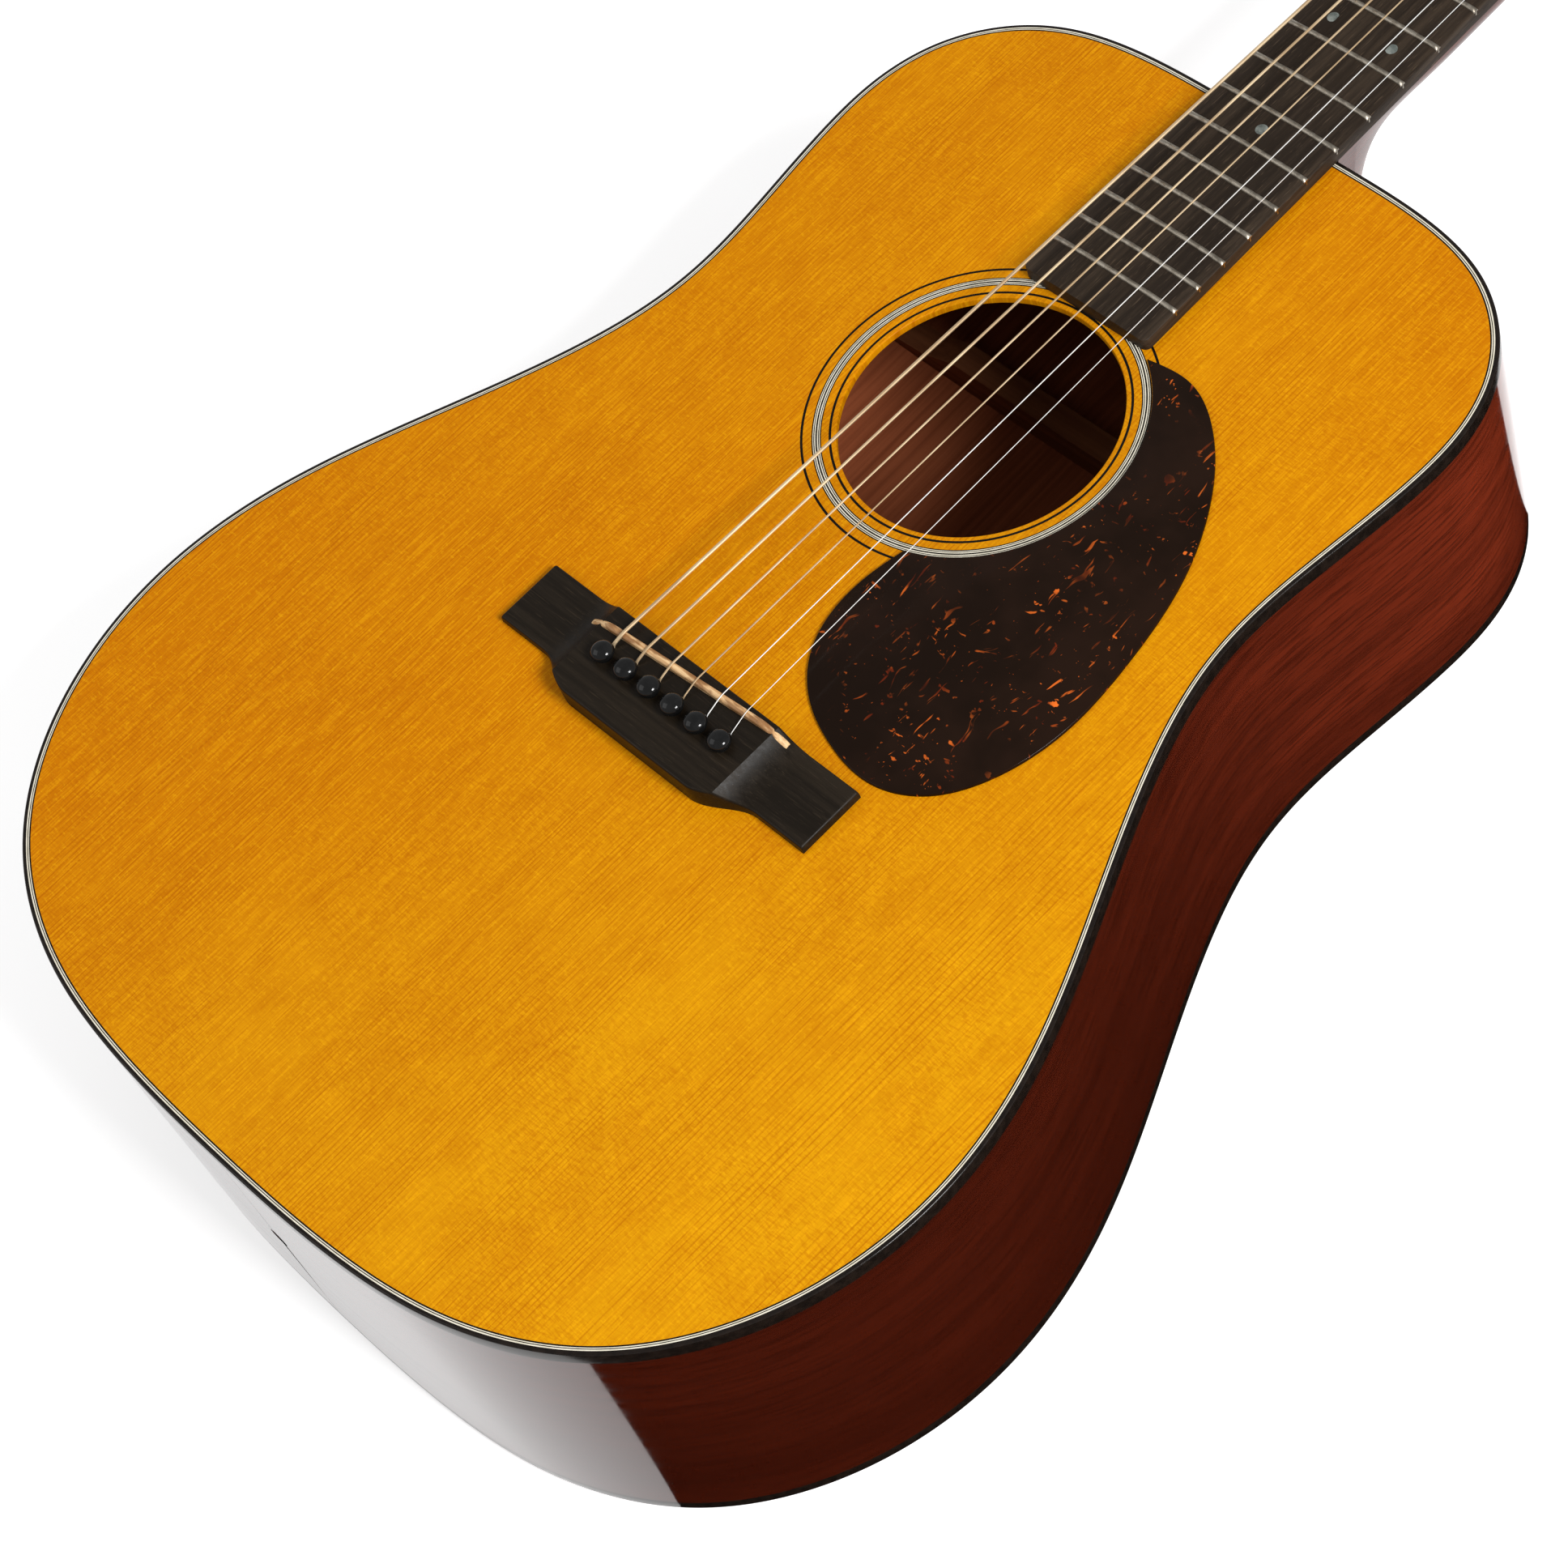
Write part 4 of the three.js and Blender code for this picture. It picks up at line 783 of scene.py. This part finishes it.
def rosette():
    """Rings let into the top round the soundhole, standing a hair above it."""
    proud, deep = 0.03, 0.8

    def ring(r0, r1):
        profile = [[r0, -deep], [r0, proud], [r1, proud], [r1, -deep]]
        return skin(lathe(profile, 0, SOUNDHOLE_Y, 180), rows=True)

    radii = ROSETTE_START + np.concatenate([[0], np.cumsum(ROSETTE_PLIES)])
    plies = list(zip(radii[:-1], radii[1:]))
    piece("rosette_black", [ring(*p) for p in ROSETTE_LINES + plies[::2]], finish["line"])
    piece("rosette_ivory", [ring(*p) for p in plies[1::2]], finish["ivory"])


def ribs():
    """One bent side each: a sheet along half the outline. Its levels bunch round the end hole, and
    at the tail its end steps back by the half circle of that hole, easing out over a few levels."""
    r, drop, ease = END_HOLE["r"], END_HOLE["drop"], 30
    top, bottom = -TOP_BINDING, rim(TAIL_Y) + BACK_BINDING
    round_hole = -drop + r * np.cos(np.linspace(0, math.pi, 13))
    levels = np.concatenate([np.linspace(top, -drop + r + 1, 9), round_hole, np.linspace(-drop - r - 1, bottom, 9)])
    share = (top - levels) / (top - bottom)
    notch = np.sqrt(np.maximum(r * r - (levels + drop) ** 2, 0))
    along = np.concatenate([[0], np.cumsum(np.linalg.norm(np.diff(OUTLINE[: HALFWAY + 1], axis=0), axis=1))])
    last = int(np.argmax((OUTLINE[:, 0] < 14) & (OUTLINE[:, 1] > -400)))
    for side in SIDES:
        faces = []
        for depth, order in ((0, slice(None)), (RIB, slice(None, None, -1))):
            ring = inset(depth)[:last]
            place_at = np.concatenate([np.linspace(0.1, ease, 14), along[10:last][along[10:last] > ease + 1]])
            at = place_at[:, None] + (notch * (1 - smooth_step(place_at, 0, ease)[:, None]))
            x = np.interp(at, along[:last], ring[:, 0])
            y = np.interp(at, along[:last], ring[:, 1])
            z = top + share * (rim(y) + BACK_BINDING - top)
            faces.append(np.stack([side * x, y, z], -1)[:, order])
            uv_part = np.stack([side * at, z], -1)[:, order]
            faces.append(uv_part)
        grid = np.concatenate([faces[0], faces[2]], 1)
        uv = np.concatenate([faces[1], faces[3]], 1)
        inner = (np.arange(grid.shape[1]) >= len(levels))[None, :]
        label = SIDE_NAMES[side]
        piece(f"mahogany_side_{label}", skin(grid, uv=uv, inner=inner), [finish["sides"], finish["bare"]],
              stands_for=[f"rib_{label}"])


def back():
    """An arched plate: the height under the rim grows as 1 - s³ from the edge to the middle."""
    ring = inset(RIB)[::2]
    middle = np.array([0, BACK_CENTRE_Y])
    shares = np.concatenate([[0.01], np.linspace(0.1, 1, 16)])

    def sheet(lift):
        points = middle + shares[:, None, None] * (ring - middle)
        z = rim(points[..., 1]) + lift - BACK_ARCH * (1 - shares[:, None] ** 3)
        return np.concatenate([points, z[..., None]], -1)

    grid = np.concatenate([sheet(0), sheet(PLATE)[::-1]])
    inner = (np.arange(len(grid) - 1) >= len(shares))[:, None]
    shell = skin(grid, inner=inner)
    piece("mahogany_back", shell, [finish["back"], finish["bare"]], stands_for=["back_plate"])


# ---------------------------------------------------------------- pickguard and bridge
def pickguard():
    """A thin plate: a cubic run for its free edge, and an arc that follows the rosette."""
    outer = cubic_run(PICKGUARD_EDGE, False)
    start, end = (math.atan2(y - SOUNDHOLE_Y, x) for x, y in (PICKGUARD_EDGE[-1], PICKGUARD_EDGE[0]))
    turn = np.linspace(start, end, 60)[1:-1]
    arc = np.stack([np.cos(turn), np.sin(turn)], -1) * PICKGUARD_ROSETTE + [0, SOUNDHOLE_Y]
    loop = evenly(np.vstack([outer, arc]), 520, True)
    plate = slab(loop, PICKGUARD_LIFT - 0.3, PICKGUARD_LIFT + PICKGUARD_THICK, 0.45)
    piece("tortoiseshell_pickguard", skin(plate), finish["shell"], stands_for=["pickguard"])


def bridge():
    """Sections across the guitar, from wing to wing. The height keeps a plateau, then falls as
    (1 - t)² to thin flat wings; the back edge swells into the belly by a smooth step; the upper
    edges and the ends are rounded."""
    half, edge = BRIDGE["half"], 1.1
    inner = np.linspace(-half + edge, half - edge, 221)
    turn = np.linspace(0, math.pi / 2, 6)
    ends = half - edge + edge * np.cos(turn[::-1])[:0:-1]
    x = np.concatenate([-np.sort(ends)[::-1], inner, np.sort(ends)])
    out = np.clip((np.abs(x) - (half - edge)) / edge, 0, 1)
    t = np.clip((np.abs(x) - 40) / 13, 0, 1)
    high = BRIDGE["wing"] + (BRIDGE["high"] - BRIDGE["wing"]) * (1 - t) ** 2 - edge * (1 - np.sqrt(1 - out * out))
    belly = smooth_step(54 - np.abs(x), 0, 24)
    rear = BRIDGE["wing_back"] + (BRIDGE["belly_back"] - BRIDGE["wing_back"]) * belly
    front = np.full(len(x), float(BRIDGE["front"]))
    corner = quarter(0.9)
    columns = [[front, 0 * x]]
    columns += [[front - i, high - d] for i, d in corner]
    columns += [[front + (rear - front) * s, high] for s in (0.2, 0.4, 0.6, 0.8)]
    columns += [[rear + i, high - d] for i, d in corner[::-1]]
    columns += [[rear, 0 * x]]
    grid = np.stack([np.stack([x, y, z], -1) for y, z in columns], 1)
    piece("ebony_bridge", skin(grid), finish["bridge"], stands_for=["bridge"], sharp=24)


def saddle():
    """A bar with a rounded crest, leaning across the bridge; its ends slope down to the bridge."""
    half, thick = SADDLE["half"], SADDLE["thick"] / 2
    u = np.linspace(-half, half, 121)
    fall = np.clip((np.abs(u) - (half - 11)) / 11, 0, 1)
    crest = SADDLE["top"] - 0.4 * (u / half) ** 2
    top = crest - (crest - BRIDGE["wing"] - 2.2) * fall**1.4
    a = np.linspace(0, math.pi, 9)
    columns = [[np.full(len(u), thick), np.full(len(u), 4.0)]]
    columns += [[np.full(len(u), thick * math.cos(k)), top - 0.9 * (1 - math.sin(k))] for k in a]
    columns += [[np.full(len(u), -thick), np.full(len(u), 4.0)]]
    grid = np.stack([np.stack([u, v, z], -1) for v, z in columns], 1)
    c, s = math.cos(SADDLE["turn"]), math.sin(SADDLE["turn"])
    turned = np.stack([
        grid[..., 0] * c - grid[..., 1] * s, grid[..., 0] * s + grid[..., 1] * c + SADDLE["y"], grid[..., 2],
    ], -1)
    piece("bone_saddle", skin(turned), finish["bone"], stands_for=["saddle"])


def string_x(i, spacing):
    return (i - 2.5) * spacing


def bridge_pins():
    """Turned pins: a tapered shank, a small collar and a ball head."""
    r, seat = PIN["r"], BRIDGE["high"]
    ball = np.linspace(-0.95, math.pi / 2, 14)
    head = np.stack([r * np.cos(ball), seat + 2.8 + 2.85 * np.sin(ball)], -1)
    collar = [[1.8, -8], [2.3, seat - 0.5], [3.0, seat], [3.2, seat + 0.2], [2.4, seat + 0.35]]
    for i in range(6):
        grid = lathe(collar + head.tolist(), string_x(i, PIN["spacing"]), PIN["y"], 28)
        piece(f"pin_{i + 1}", skin(grid), finish["pin"], stands_for=[f"bridge_pin_{i + 1}"])


# ---------------------------------------------------------------- fretboard
def board_half(y):
    return BOARD["half"] - BOARD["spread"] * np.asarray(y, float)


def board_top(x):
    """The board's cambered face: a wide arc across the neck."""
    return BOARD["thick"] - np.asarray(x, float) ** 2 / (2 * BOARD["camber"])


def fretboard():
    """Sections along the neck: a cambered face with eased edges; the last one is rounded in plan."""
    corner = 2.6
    turn = np.linspace(0, math.pi / 2, 7)
    near_end = BOARD["end"] + corner * (1 - np.cos(turn))
    y = np.concatenate([near_end, np.linspace(BOARD["end"] + corner + 4, -0.3, 90)])
    narrowed = corner * (1 - np.sin(turn))
    half = board_half(y) - np.concatenate([narrowed, np.zeros(90)])
    across = np.linspace(-1, 1, 17)
    ease = 0.45
    columns = [[-half, 0 * y]]
    columns += [[-half + i, board_top(half) - d] for i, d in quarter(ease, 4)]
    columns += [[s * (half - ease - 0.3), board_top(s * (half - ease - 0.3))] for s in across]
    columns += [[half - i, board_top(half) - d] for i, d in quarter(ease, 4)[::-1]]
    columns += [[half, 0 * y]]
    grid = np.stack([np.stack([x, y, z], -1) for x, z in columns], 1)
    piece("ebony_fretboard", skin(grid), finish["ebony"], stands_for=["fretboard"])


def fret_y(n):
    return -SCALE_LENGTH * (1 - 2 ** (-n / 12))


def frets():
    """Each fret is a crowned section carried across the camber, falling away at its bevelled ends,
    with its tang showing on the side of the board."""
    shells = []
    lift = np.array([-0.6, 0, 0.45, 0.82, 1, 0.82, 0.45, 0, -0.6])
    wide = np.array([-1, -1, -0.86, -0.5, 0, 0.5, 0.86, 1, 1])
    for n in range(1, FRET_COUNT + 1):
        y = fret_y(n)
        half = float(board_half(y)) + 0.02
        ends = half - FRET["bevel"] * np.array([0, 0.25, 0.55, 1.0])
        x = np.concatenate([-ends, np.linspace(-ends[-1], ends[-1], 15)[1:-1], ends[::-1]])
        rise = np.clip((half - np.abs(x)) / FRET["bevel"], 0, 1) ** 0.7
        height = FRET["high"] * np.where(lift > 0, lift[None, :] * rise[:, None], lift[None, :])
        grid = np.stack(np.broadcast_arrays(
            x[:, None], y + wide[None, :] * FRET["wide"] / 2, board_top(x)[:, None] + height), -1)
        shells.append(skin(grid))
        for side in SIDES:
            top = float(board_top(half)) + 0.1
            loop = [[-0.3, top], [0.3, top], [0.3, top - 2.2], [-0.3, top - 2.2]]
            tang = [[[side * (half + out), y + a, b] for a, b in loop] for out in (-0.6, 0.05)]
            shells.append(skin(tang))
    piece("fret_wires", shells, finish["fret"])


def position_dots():
    shells = []
    for n, x in DOTS:
        y = (fret_y(n) + fret_y(n - 1)) / 2
        top = float(board_top(x))
        shells.append(skin(lathe([[2.3, top - 0.8], [2.3, top], [2.1, top + 0.04], [0, top + 0.05]], x, y, 28)))
    piece("position_dots", shells, finish["pearl"])


# ---------------------------------------------------------------- neck and head
def head_half(s):
    """The head's half width along its length: it flares from the nut, then widens a little."""
    flare = smooth_step(s, 4, HEAD_HALF["flare"])
    plain = HEAD_HALF["base"] + (np.asarray(s, float) - HEAD_HALF["flare"]) * HEAD_HALF["spread"]
    return 21.5 + (plain - 21.5) * flare


def neck():
    """Sections from the body to the end of the head. Below the face, width against depth u is a
    superellipse (1 - u^p)^(1/p), round on the neck and square on the head; towards the body it
    turns into the heel's hollow taper 0.5 + 0.5 (1 - u)^1.8, and the depth grows as the seventh power
    of the distance from the heel's start."""
    u = np.sin(np.linspace(0, math.pi / 2, 22))
    heel_y = HEEL_FOOT - np.linspace(0, 1, 12)[::-1] * (HEEL_FOOT - BODY_NECK_Y - 0.3)
    curve_y = HEEL_START - (HEEL_START - HEEL_FOOT) * (1 - np.linspace(0, 1, 40) ** 1.6)
    y = np.concatenate([heel_y[:-1], curve_y[:-1], np.linspace(HEEL_START, -16, 40)])
    t = np.clip((HEEL_START - y) / (HEEL_START - HEEL_FOOT), 0, 1)
    plain = 14.5 + 1.9 * np.clip(y / HEEL_START, 0, 1)
    depth = plain + (HEEL_DEPTH - plain) * t**7
    heel, half = t**3, board_half(y)

    def section(halves, depths, power, heels=0.0):
        halves, depths, heels = (np.atleast_1d(v)[:, None] for v in (halves, depths, heels))
        power = np.atleast_1d(power)[:, None]
        oval = np.maximum(1 - u[None, :] ** power, 0) ** (1 / power)
        width = halves * ((1 - heels) * oval + heels * (0.5 + 0.5 * (1 - u) ** 1.8))
        return width, -depths * u

    def ring(width, z, along):
        right = np.stack(np.broadcast_arrays(width, along[:, None], z), -1)
        return np.concatenate([right, (right * [-1, 1, 1])[:, ::-1]], 1)

    width, z = section(half, depth, np.full(len(y), 2.0), heel)
    rings = [ring(width, z, y)]
    s = np.concatenate([np.linspace(-18, 34, 27)[1:], np.linspace(40, HEAD["length"] - 3, 16)])
    blend = smooth_step(s, -16, 26)[:, None, None]
    neck_w, neck_z = section(board_half(np.minimum(s, 0)), np.full(len(s), 14.5), np.full(len(s), 2.0))
    head_w, head_z = section(head_half(s), np.full(len(s), HEAD["thick"] - HEAD["veneer"]), 9 + 0 * s)
    on_neck = ring(neck_w, neck_z, s + HEAD["start"])
    on_the_head = on_head(ring(head_w, head_z - HEAD["veneer"], s))
    rings.append(on_neck + (on_the_head - on_neck) * blend)
    end = []
    for a in np.linspace(0, math.pi / 2, 5)[1:]:
        shrink = 3 * (1 - math.cos(a))
        end_w, end_z = section(head_half(HEAD["length"]) - shrink, HEAD["thick"] - HEAD["veneer"], 9.0)
        end.append(on_head(ring(end_w, end_z - HEAD["veneer"], np.array([HEAD["length"] - 3 + 3 * math.sin(a)]))))
    grid = np.concatenate(rings + end)
    piece("mahogany_neck", skin(grid), finish["neck"], stands_for=["neck"], sharp=40)


def head_loop(grow=0.0):
    """The head's outline in plan, with eased outer corners."""
    s = np.concatenate([np.linspace(0.5, HEAD["length"] - 5, 60)])
    corner = np.linspace(0, math.pi / 2, 8)
    end_half = float(head_half(HEAD["length"]))
    right = np.column_stack([head_half(s), s])
    turn = np.column_stack([end_half - 5 + 5 * np.cos(corner), HEAD["length"] - 5 + 5 * np.sin(corner)])
    side = np.vstack([right, turn])
    return np.vstack([side, side[::-1] * [-1, 1]])


def head_face():
    plate = slab(head_loop(), -HEAD["veneer"], 0, 0.4)
    piece("head_veneer", skin(on_head(plate)), finish["veneer"])


def heel_cap():
    """A thin cap under the heel, on the heel's own plan."""
    foot = np.linspace(0, 1, 16)
    y = HEEL_FOOT - 1 - foot * (HEEL_FOOT - 1 - BODY_NECK_Y - 0.3)
    width = board_half(y) * 0.5
    nose = np.linspace(0.1, math.pi / 2, 6)[::-1]
    tip = np.column_stack([width[0] * np.cos(nose), HEEL_FOOT - 1 + 0.8 * np.sin(nose)])
    side = np.vstack([tip, np.column_stack([width, y])])
    loop = np.vstack([side, side[::-1] * [-1, 1]])
    loop = evenly(loop, 120, True)
    plate = slab(loop, 0, 2.8, 0.6)
    plate = plate * [1, 1, -1] + [0, 0, -HEEL_DEPTH]
    piece("heel_cap", skin(plate), finish["binding"])


# ---------------------------------------------------------------- strings
def post_place(row, side):
    y = POST["first"] + POST["pitch"] * row
    return side * (float(head_half(y)) - POST["edge"]), y


def machine_of(i):
    return (-1, i) if i < 3 else (1, 5 - i)


def string_height(share):
    at_nut = BOARD["thick"] + FRET["high"] + 1
    return at_nut + (SADDLE["top"] + 1.1 - at_nut) * share


def strings():
    """Each string rises out of its pin hole, bends over the saddle and the nut, and runs to the
    inner side of its post."""
    for i, r in enumerate(STRING_RADII):
        side, row = machine_of(i)
        x, y = post_place(row, side)
        end = on_head([x - side * (POST["r"] + r + 0.3), y, POST["wrap"]])
        at_pin, at_saddle = string_x(i, PIN["spacing"]), string_x(i, STRING_GAP_SADDLE)
        saddle_y = SADDLE["y"] + SADDLE["turn"] * at_saddle
        at_nut = string_x(i, STRING_GAP_NUT)
        path = rounded([
            [at_pin, PIN["y"] + 2.6, 2], [at_pin, PIN["y"] + 4.2, BRIDGE["high"] + 0.2 + r],
            [at_saddle, saddle_y, SADDLE["top"] + 0.1 + r - 0.4 * (at_saddle / SADDLE["half"]) ** 2],
            [at_nut, 0, string_height(0)], [at_nut, 5, string_height(0) - 0.3], end,
        ], 1.6)
        look, slot = ("bronze", "bronze_wound") if i < 4 else ("steel", "plain_steel")
        piece(f"music_string_{i + 1}", tube(path, r), finish[look], stands_for=[f"string_{i + 1}"])


def string_winds():
    """The turns of each string round its post: a helix that goes down the post, with its cut end
    standing out of the post's hole."""
    for i, r in enumerate(STRING_RADII):
        side, row = machine_of(i)
        x, y = post_place(row, side)
        turns = 3 if i < 4 else 5
        a = np.linspace(0, 2 * math.pi * turns, 28 * turns)
        start = math.pi if side > 0 else 0.0
        reach = POST["r"] + r + 0.1
        angle = start + side * a
        drop = POST["wrap"] - 2 * r * 1.06 * a / (2 * math.pi)
        helix = np.stack([x + reach * np.cos(angle), y + reach * np.sin(angle), drop], -1)
        shells = [tube(on_head(helix), r, 8, (0, 0.26, 0.97))]
        stub = np.array([[x - 5.5, y, POST["wrap"] + 4.5], [x, y, POST["wrap"] + 4.5], [x + 6.2, y, POST["wrap"] + 4.8]])
        shells.append(tube(on_head(stub), r, 8, (0, 0, 1)))
        look, slot = ("bronze", "bronze_wound") if i < 4 else ("steel", "plain_steel")
        label = f"{SIDE_NAMES[side]}_{row + 1}"
        piece(f"string_wind_{i + 1}", shells, finish[look], body=f"post_{label}")


# ---------------------------------------------------------------- tuning machines
def oval_plate(x, y, half_x, half_y, low, high, power=5.0):
    """A plate whose plan is a superellipse, with a rounded upper edge."""
    a = circle(64)
    c, s = np.cos(a), np.sin(a)
    loop = np.column_stack([
        x + half_x * np.sign(c) * np.abs(c) ** (2 / power), y + half_y * np.sign(s) * np.abs(s) ** (2 / power)])
    return slab(loop, low, high, 0.35)


def base_plate(x, y):
    """The base on the back of the head, its two worm lugs and its screws."""
    low = MACHINE_BACK - BASE_THICK
    flip = np.array([1, 1, -1])
    parts = [oval_plate(x, y, 8, 13, -MACHINE_BACK - 0.3, -low) * flip]
    for side in SIDES:
        a = np.linspace(0, math.pi, 13)
        arch = np.column_stack([WORM["offset"] + 3.3 * np.cos(a), -low + WORM["drop"] + 2.9 * np.sin(a)])
        loop = np.vstack([[[WORM["offset"] + 3.3, -low - 0.5]], arch, [[WORM["offset"] - 3.3, -low - 0.5]]])
        faces = [np.column_stack([np.full(len(loop), x + side * 6.6 + out), y + loop[:, 0], -loop[:, 1]])
                 for out in (-0.9, 0.9)]
        parts.append(np.stack(faces))
    for dy in (-10.3, 0.6):
        dx = 0 if dy < 0 else 5.9
        screw = lathe([[2.0, -low - 0.2], [2.0, -low + 0.15], [1.4, -low + 0.6], [0, -low + 0.75]], x + dx, y + dy, 20)
        parts.append(screw * flip)
    return [skin(on_head(part)) for part in parts]


def post_and_gear(x, y):
    """A turned post with a waist for the string, and a wheel whose radius goes as the cosine of
    its number of teeth."""
    under = MACHINE_BACK - BASE_THICK - 0.3
    r, above = POST["r"], POST["above"]
    profile = [[r, under], [r, 5.5], [r - 0.35, 7], [r - 0.35, 13], [r, 14.5], [r, above - 0.6],
               [r - 0.6, above], [0, above]]
    post = lathe([[0, under - 3.2]] + [[r - 0.5, under - 3.2]] + profile, x, y, 32)
    a = circle(GEAR_TEETH * 8)
    tooth = 4.62 + 0.48 * np.clip(np.cos(GEAR_TEETH * a) * 1.6, -1, 1)
    rings = []
    for radius, z in ((0.02, 0), (0.75, 0), (0.96, -0.1), (1, -0.4), (1, -2.5), (0.96, -2.8), (0.02, -2.8)):
        rings.append(np.column_stack([x + radius * tooth * np.cos(a), y + radius * tooth * np.sin(a), under + z + 0 * a]))
    screw = lathe([[2.2, under - 2.7], [2.2, under - 3.2], [1.5, under - 3.4], [0, under - 3.4]], x, y, 20)
    return [skin(on_head(part)) for part in (post, np.stack(rings), screw)]


def worm_and_button(x, y, side):
    """A shaft along X: a worm whose radius turns with a helix, a collar, and a rounded button."""
    z0, y0 = MACHINE_BACK - BASE_THICK - WORM["drop"], y + WORM["offset"]
    reach = POST["edge"] + 4
    u = np.concatenate([[-8.6, -8.5, -4.7], np.linspace(-4.6, 4.6, 70), [4.7, reach, reach + 0.6, reach + 3.4, reach + 4]])
    r = np.where(np.abs(u) <= 4.6, 1.9, WORM["shaft"])
    r = np.where(u > reach, 2.9, r)
    r[[0, -1]] = [0.9, 2.2]
    a = circle(24)
    thread = np.where(np.abs(u) <= 4.6, 0.45, 0.0)[:, None] * np.cos(2 * math.pi * u[:, None] / 1.5 - a[None, :])
    radius = r[:, None] + thread
    shaft = np.stack(np.broadcast_arrays(
        x + side * u[:, None], y0 + radius * np.cos(a), z0 + radius * np.sin(a)), -1)
    v = np.linspace(-math.pi / 2 + 0.02, math.pi / 2 - 0.02, 21)[:, None]
    b = circle(48)[None, :]
    waist = 1 - 0.09 * np.cos(b) ** 8
    flat, round_off = np.sign(np.sin(v)) * np.abs(np.sin(v)) ** 0.75, np.cos(v) ** 0.5
    button = np.stack(np.broadcast_arrays(
        x + side * (reach + 10) + 9.4 * round_off * np.cos(b) * waist,
        y0 + 2.95 * flat,
        z0 + 7.4 * round_off * np.sin(b)), -1)
    return [skin(on_head(shaft)), skin(on_head(button))]


def machines():
    for side in SIDES:
        for row in range(3):
            label = f"{SIDE_NAMES[side]}_{row + 1}"
            x, y = post_place(row, side)
            nickel = finish["nickel"]
            piece(f"tuner_base_{label}", base_plate(x, y), nickel,
                  stands_for=[f"machine_base_{label}"])
            piece(f"tuner_post_{label}", post_and_gear(x, y), nickel, f"post_{label}",
                  [f"machine_post_{label}"])
            piece(f"tuner_button_{label}", worm_and_button(x, y, side), nickel, f"button_{label}",
                  [f"machine_button_{label}"])
            ring = lathe([[3.5, -0.5], [3.5, 0.8], [3.9, 1.0], [4.6, 0.8], [5.2, 0.1], [5.2, -0.5]], x, y, 32)
            piece(f"ferrule_{label}", skin(on_head(ring), rows=True), nickel)


# ---------------------------------------------------------------- frame nodes that stay
KEPT = {
    "neck_block": "bare", "end_block": "bare", "bridge_plate": "maple", "truss_rod": "bar", "nut": "nut",
    "x_brace": "brace", "transverse_brace": "brace", "tone_bar": "brace", "back_brace": "brace",
    "top_lining": "lining", "back_lining": "lining",
}


def dress_frame():
    """The frame's own pieces that show or fill the inside get their finishes."""
    for name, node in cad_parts.items():
        for start, look in KEPT.items():
            if name.startswith(start):
                node.data.materials.clear()
                node.data.materials.append(finish[look])


camera()
studio()
soundboard()
purfling()
bindings()
rosette()
ribs()
back()
pickguard()
bridge()
saddle()
bridge_pins()
neck()
heel_cap()
head_face()
fretboard()
frets()
position_dots()
strings()
string_winds()
machines()
dress_frame()
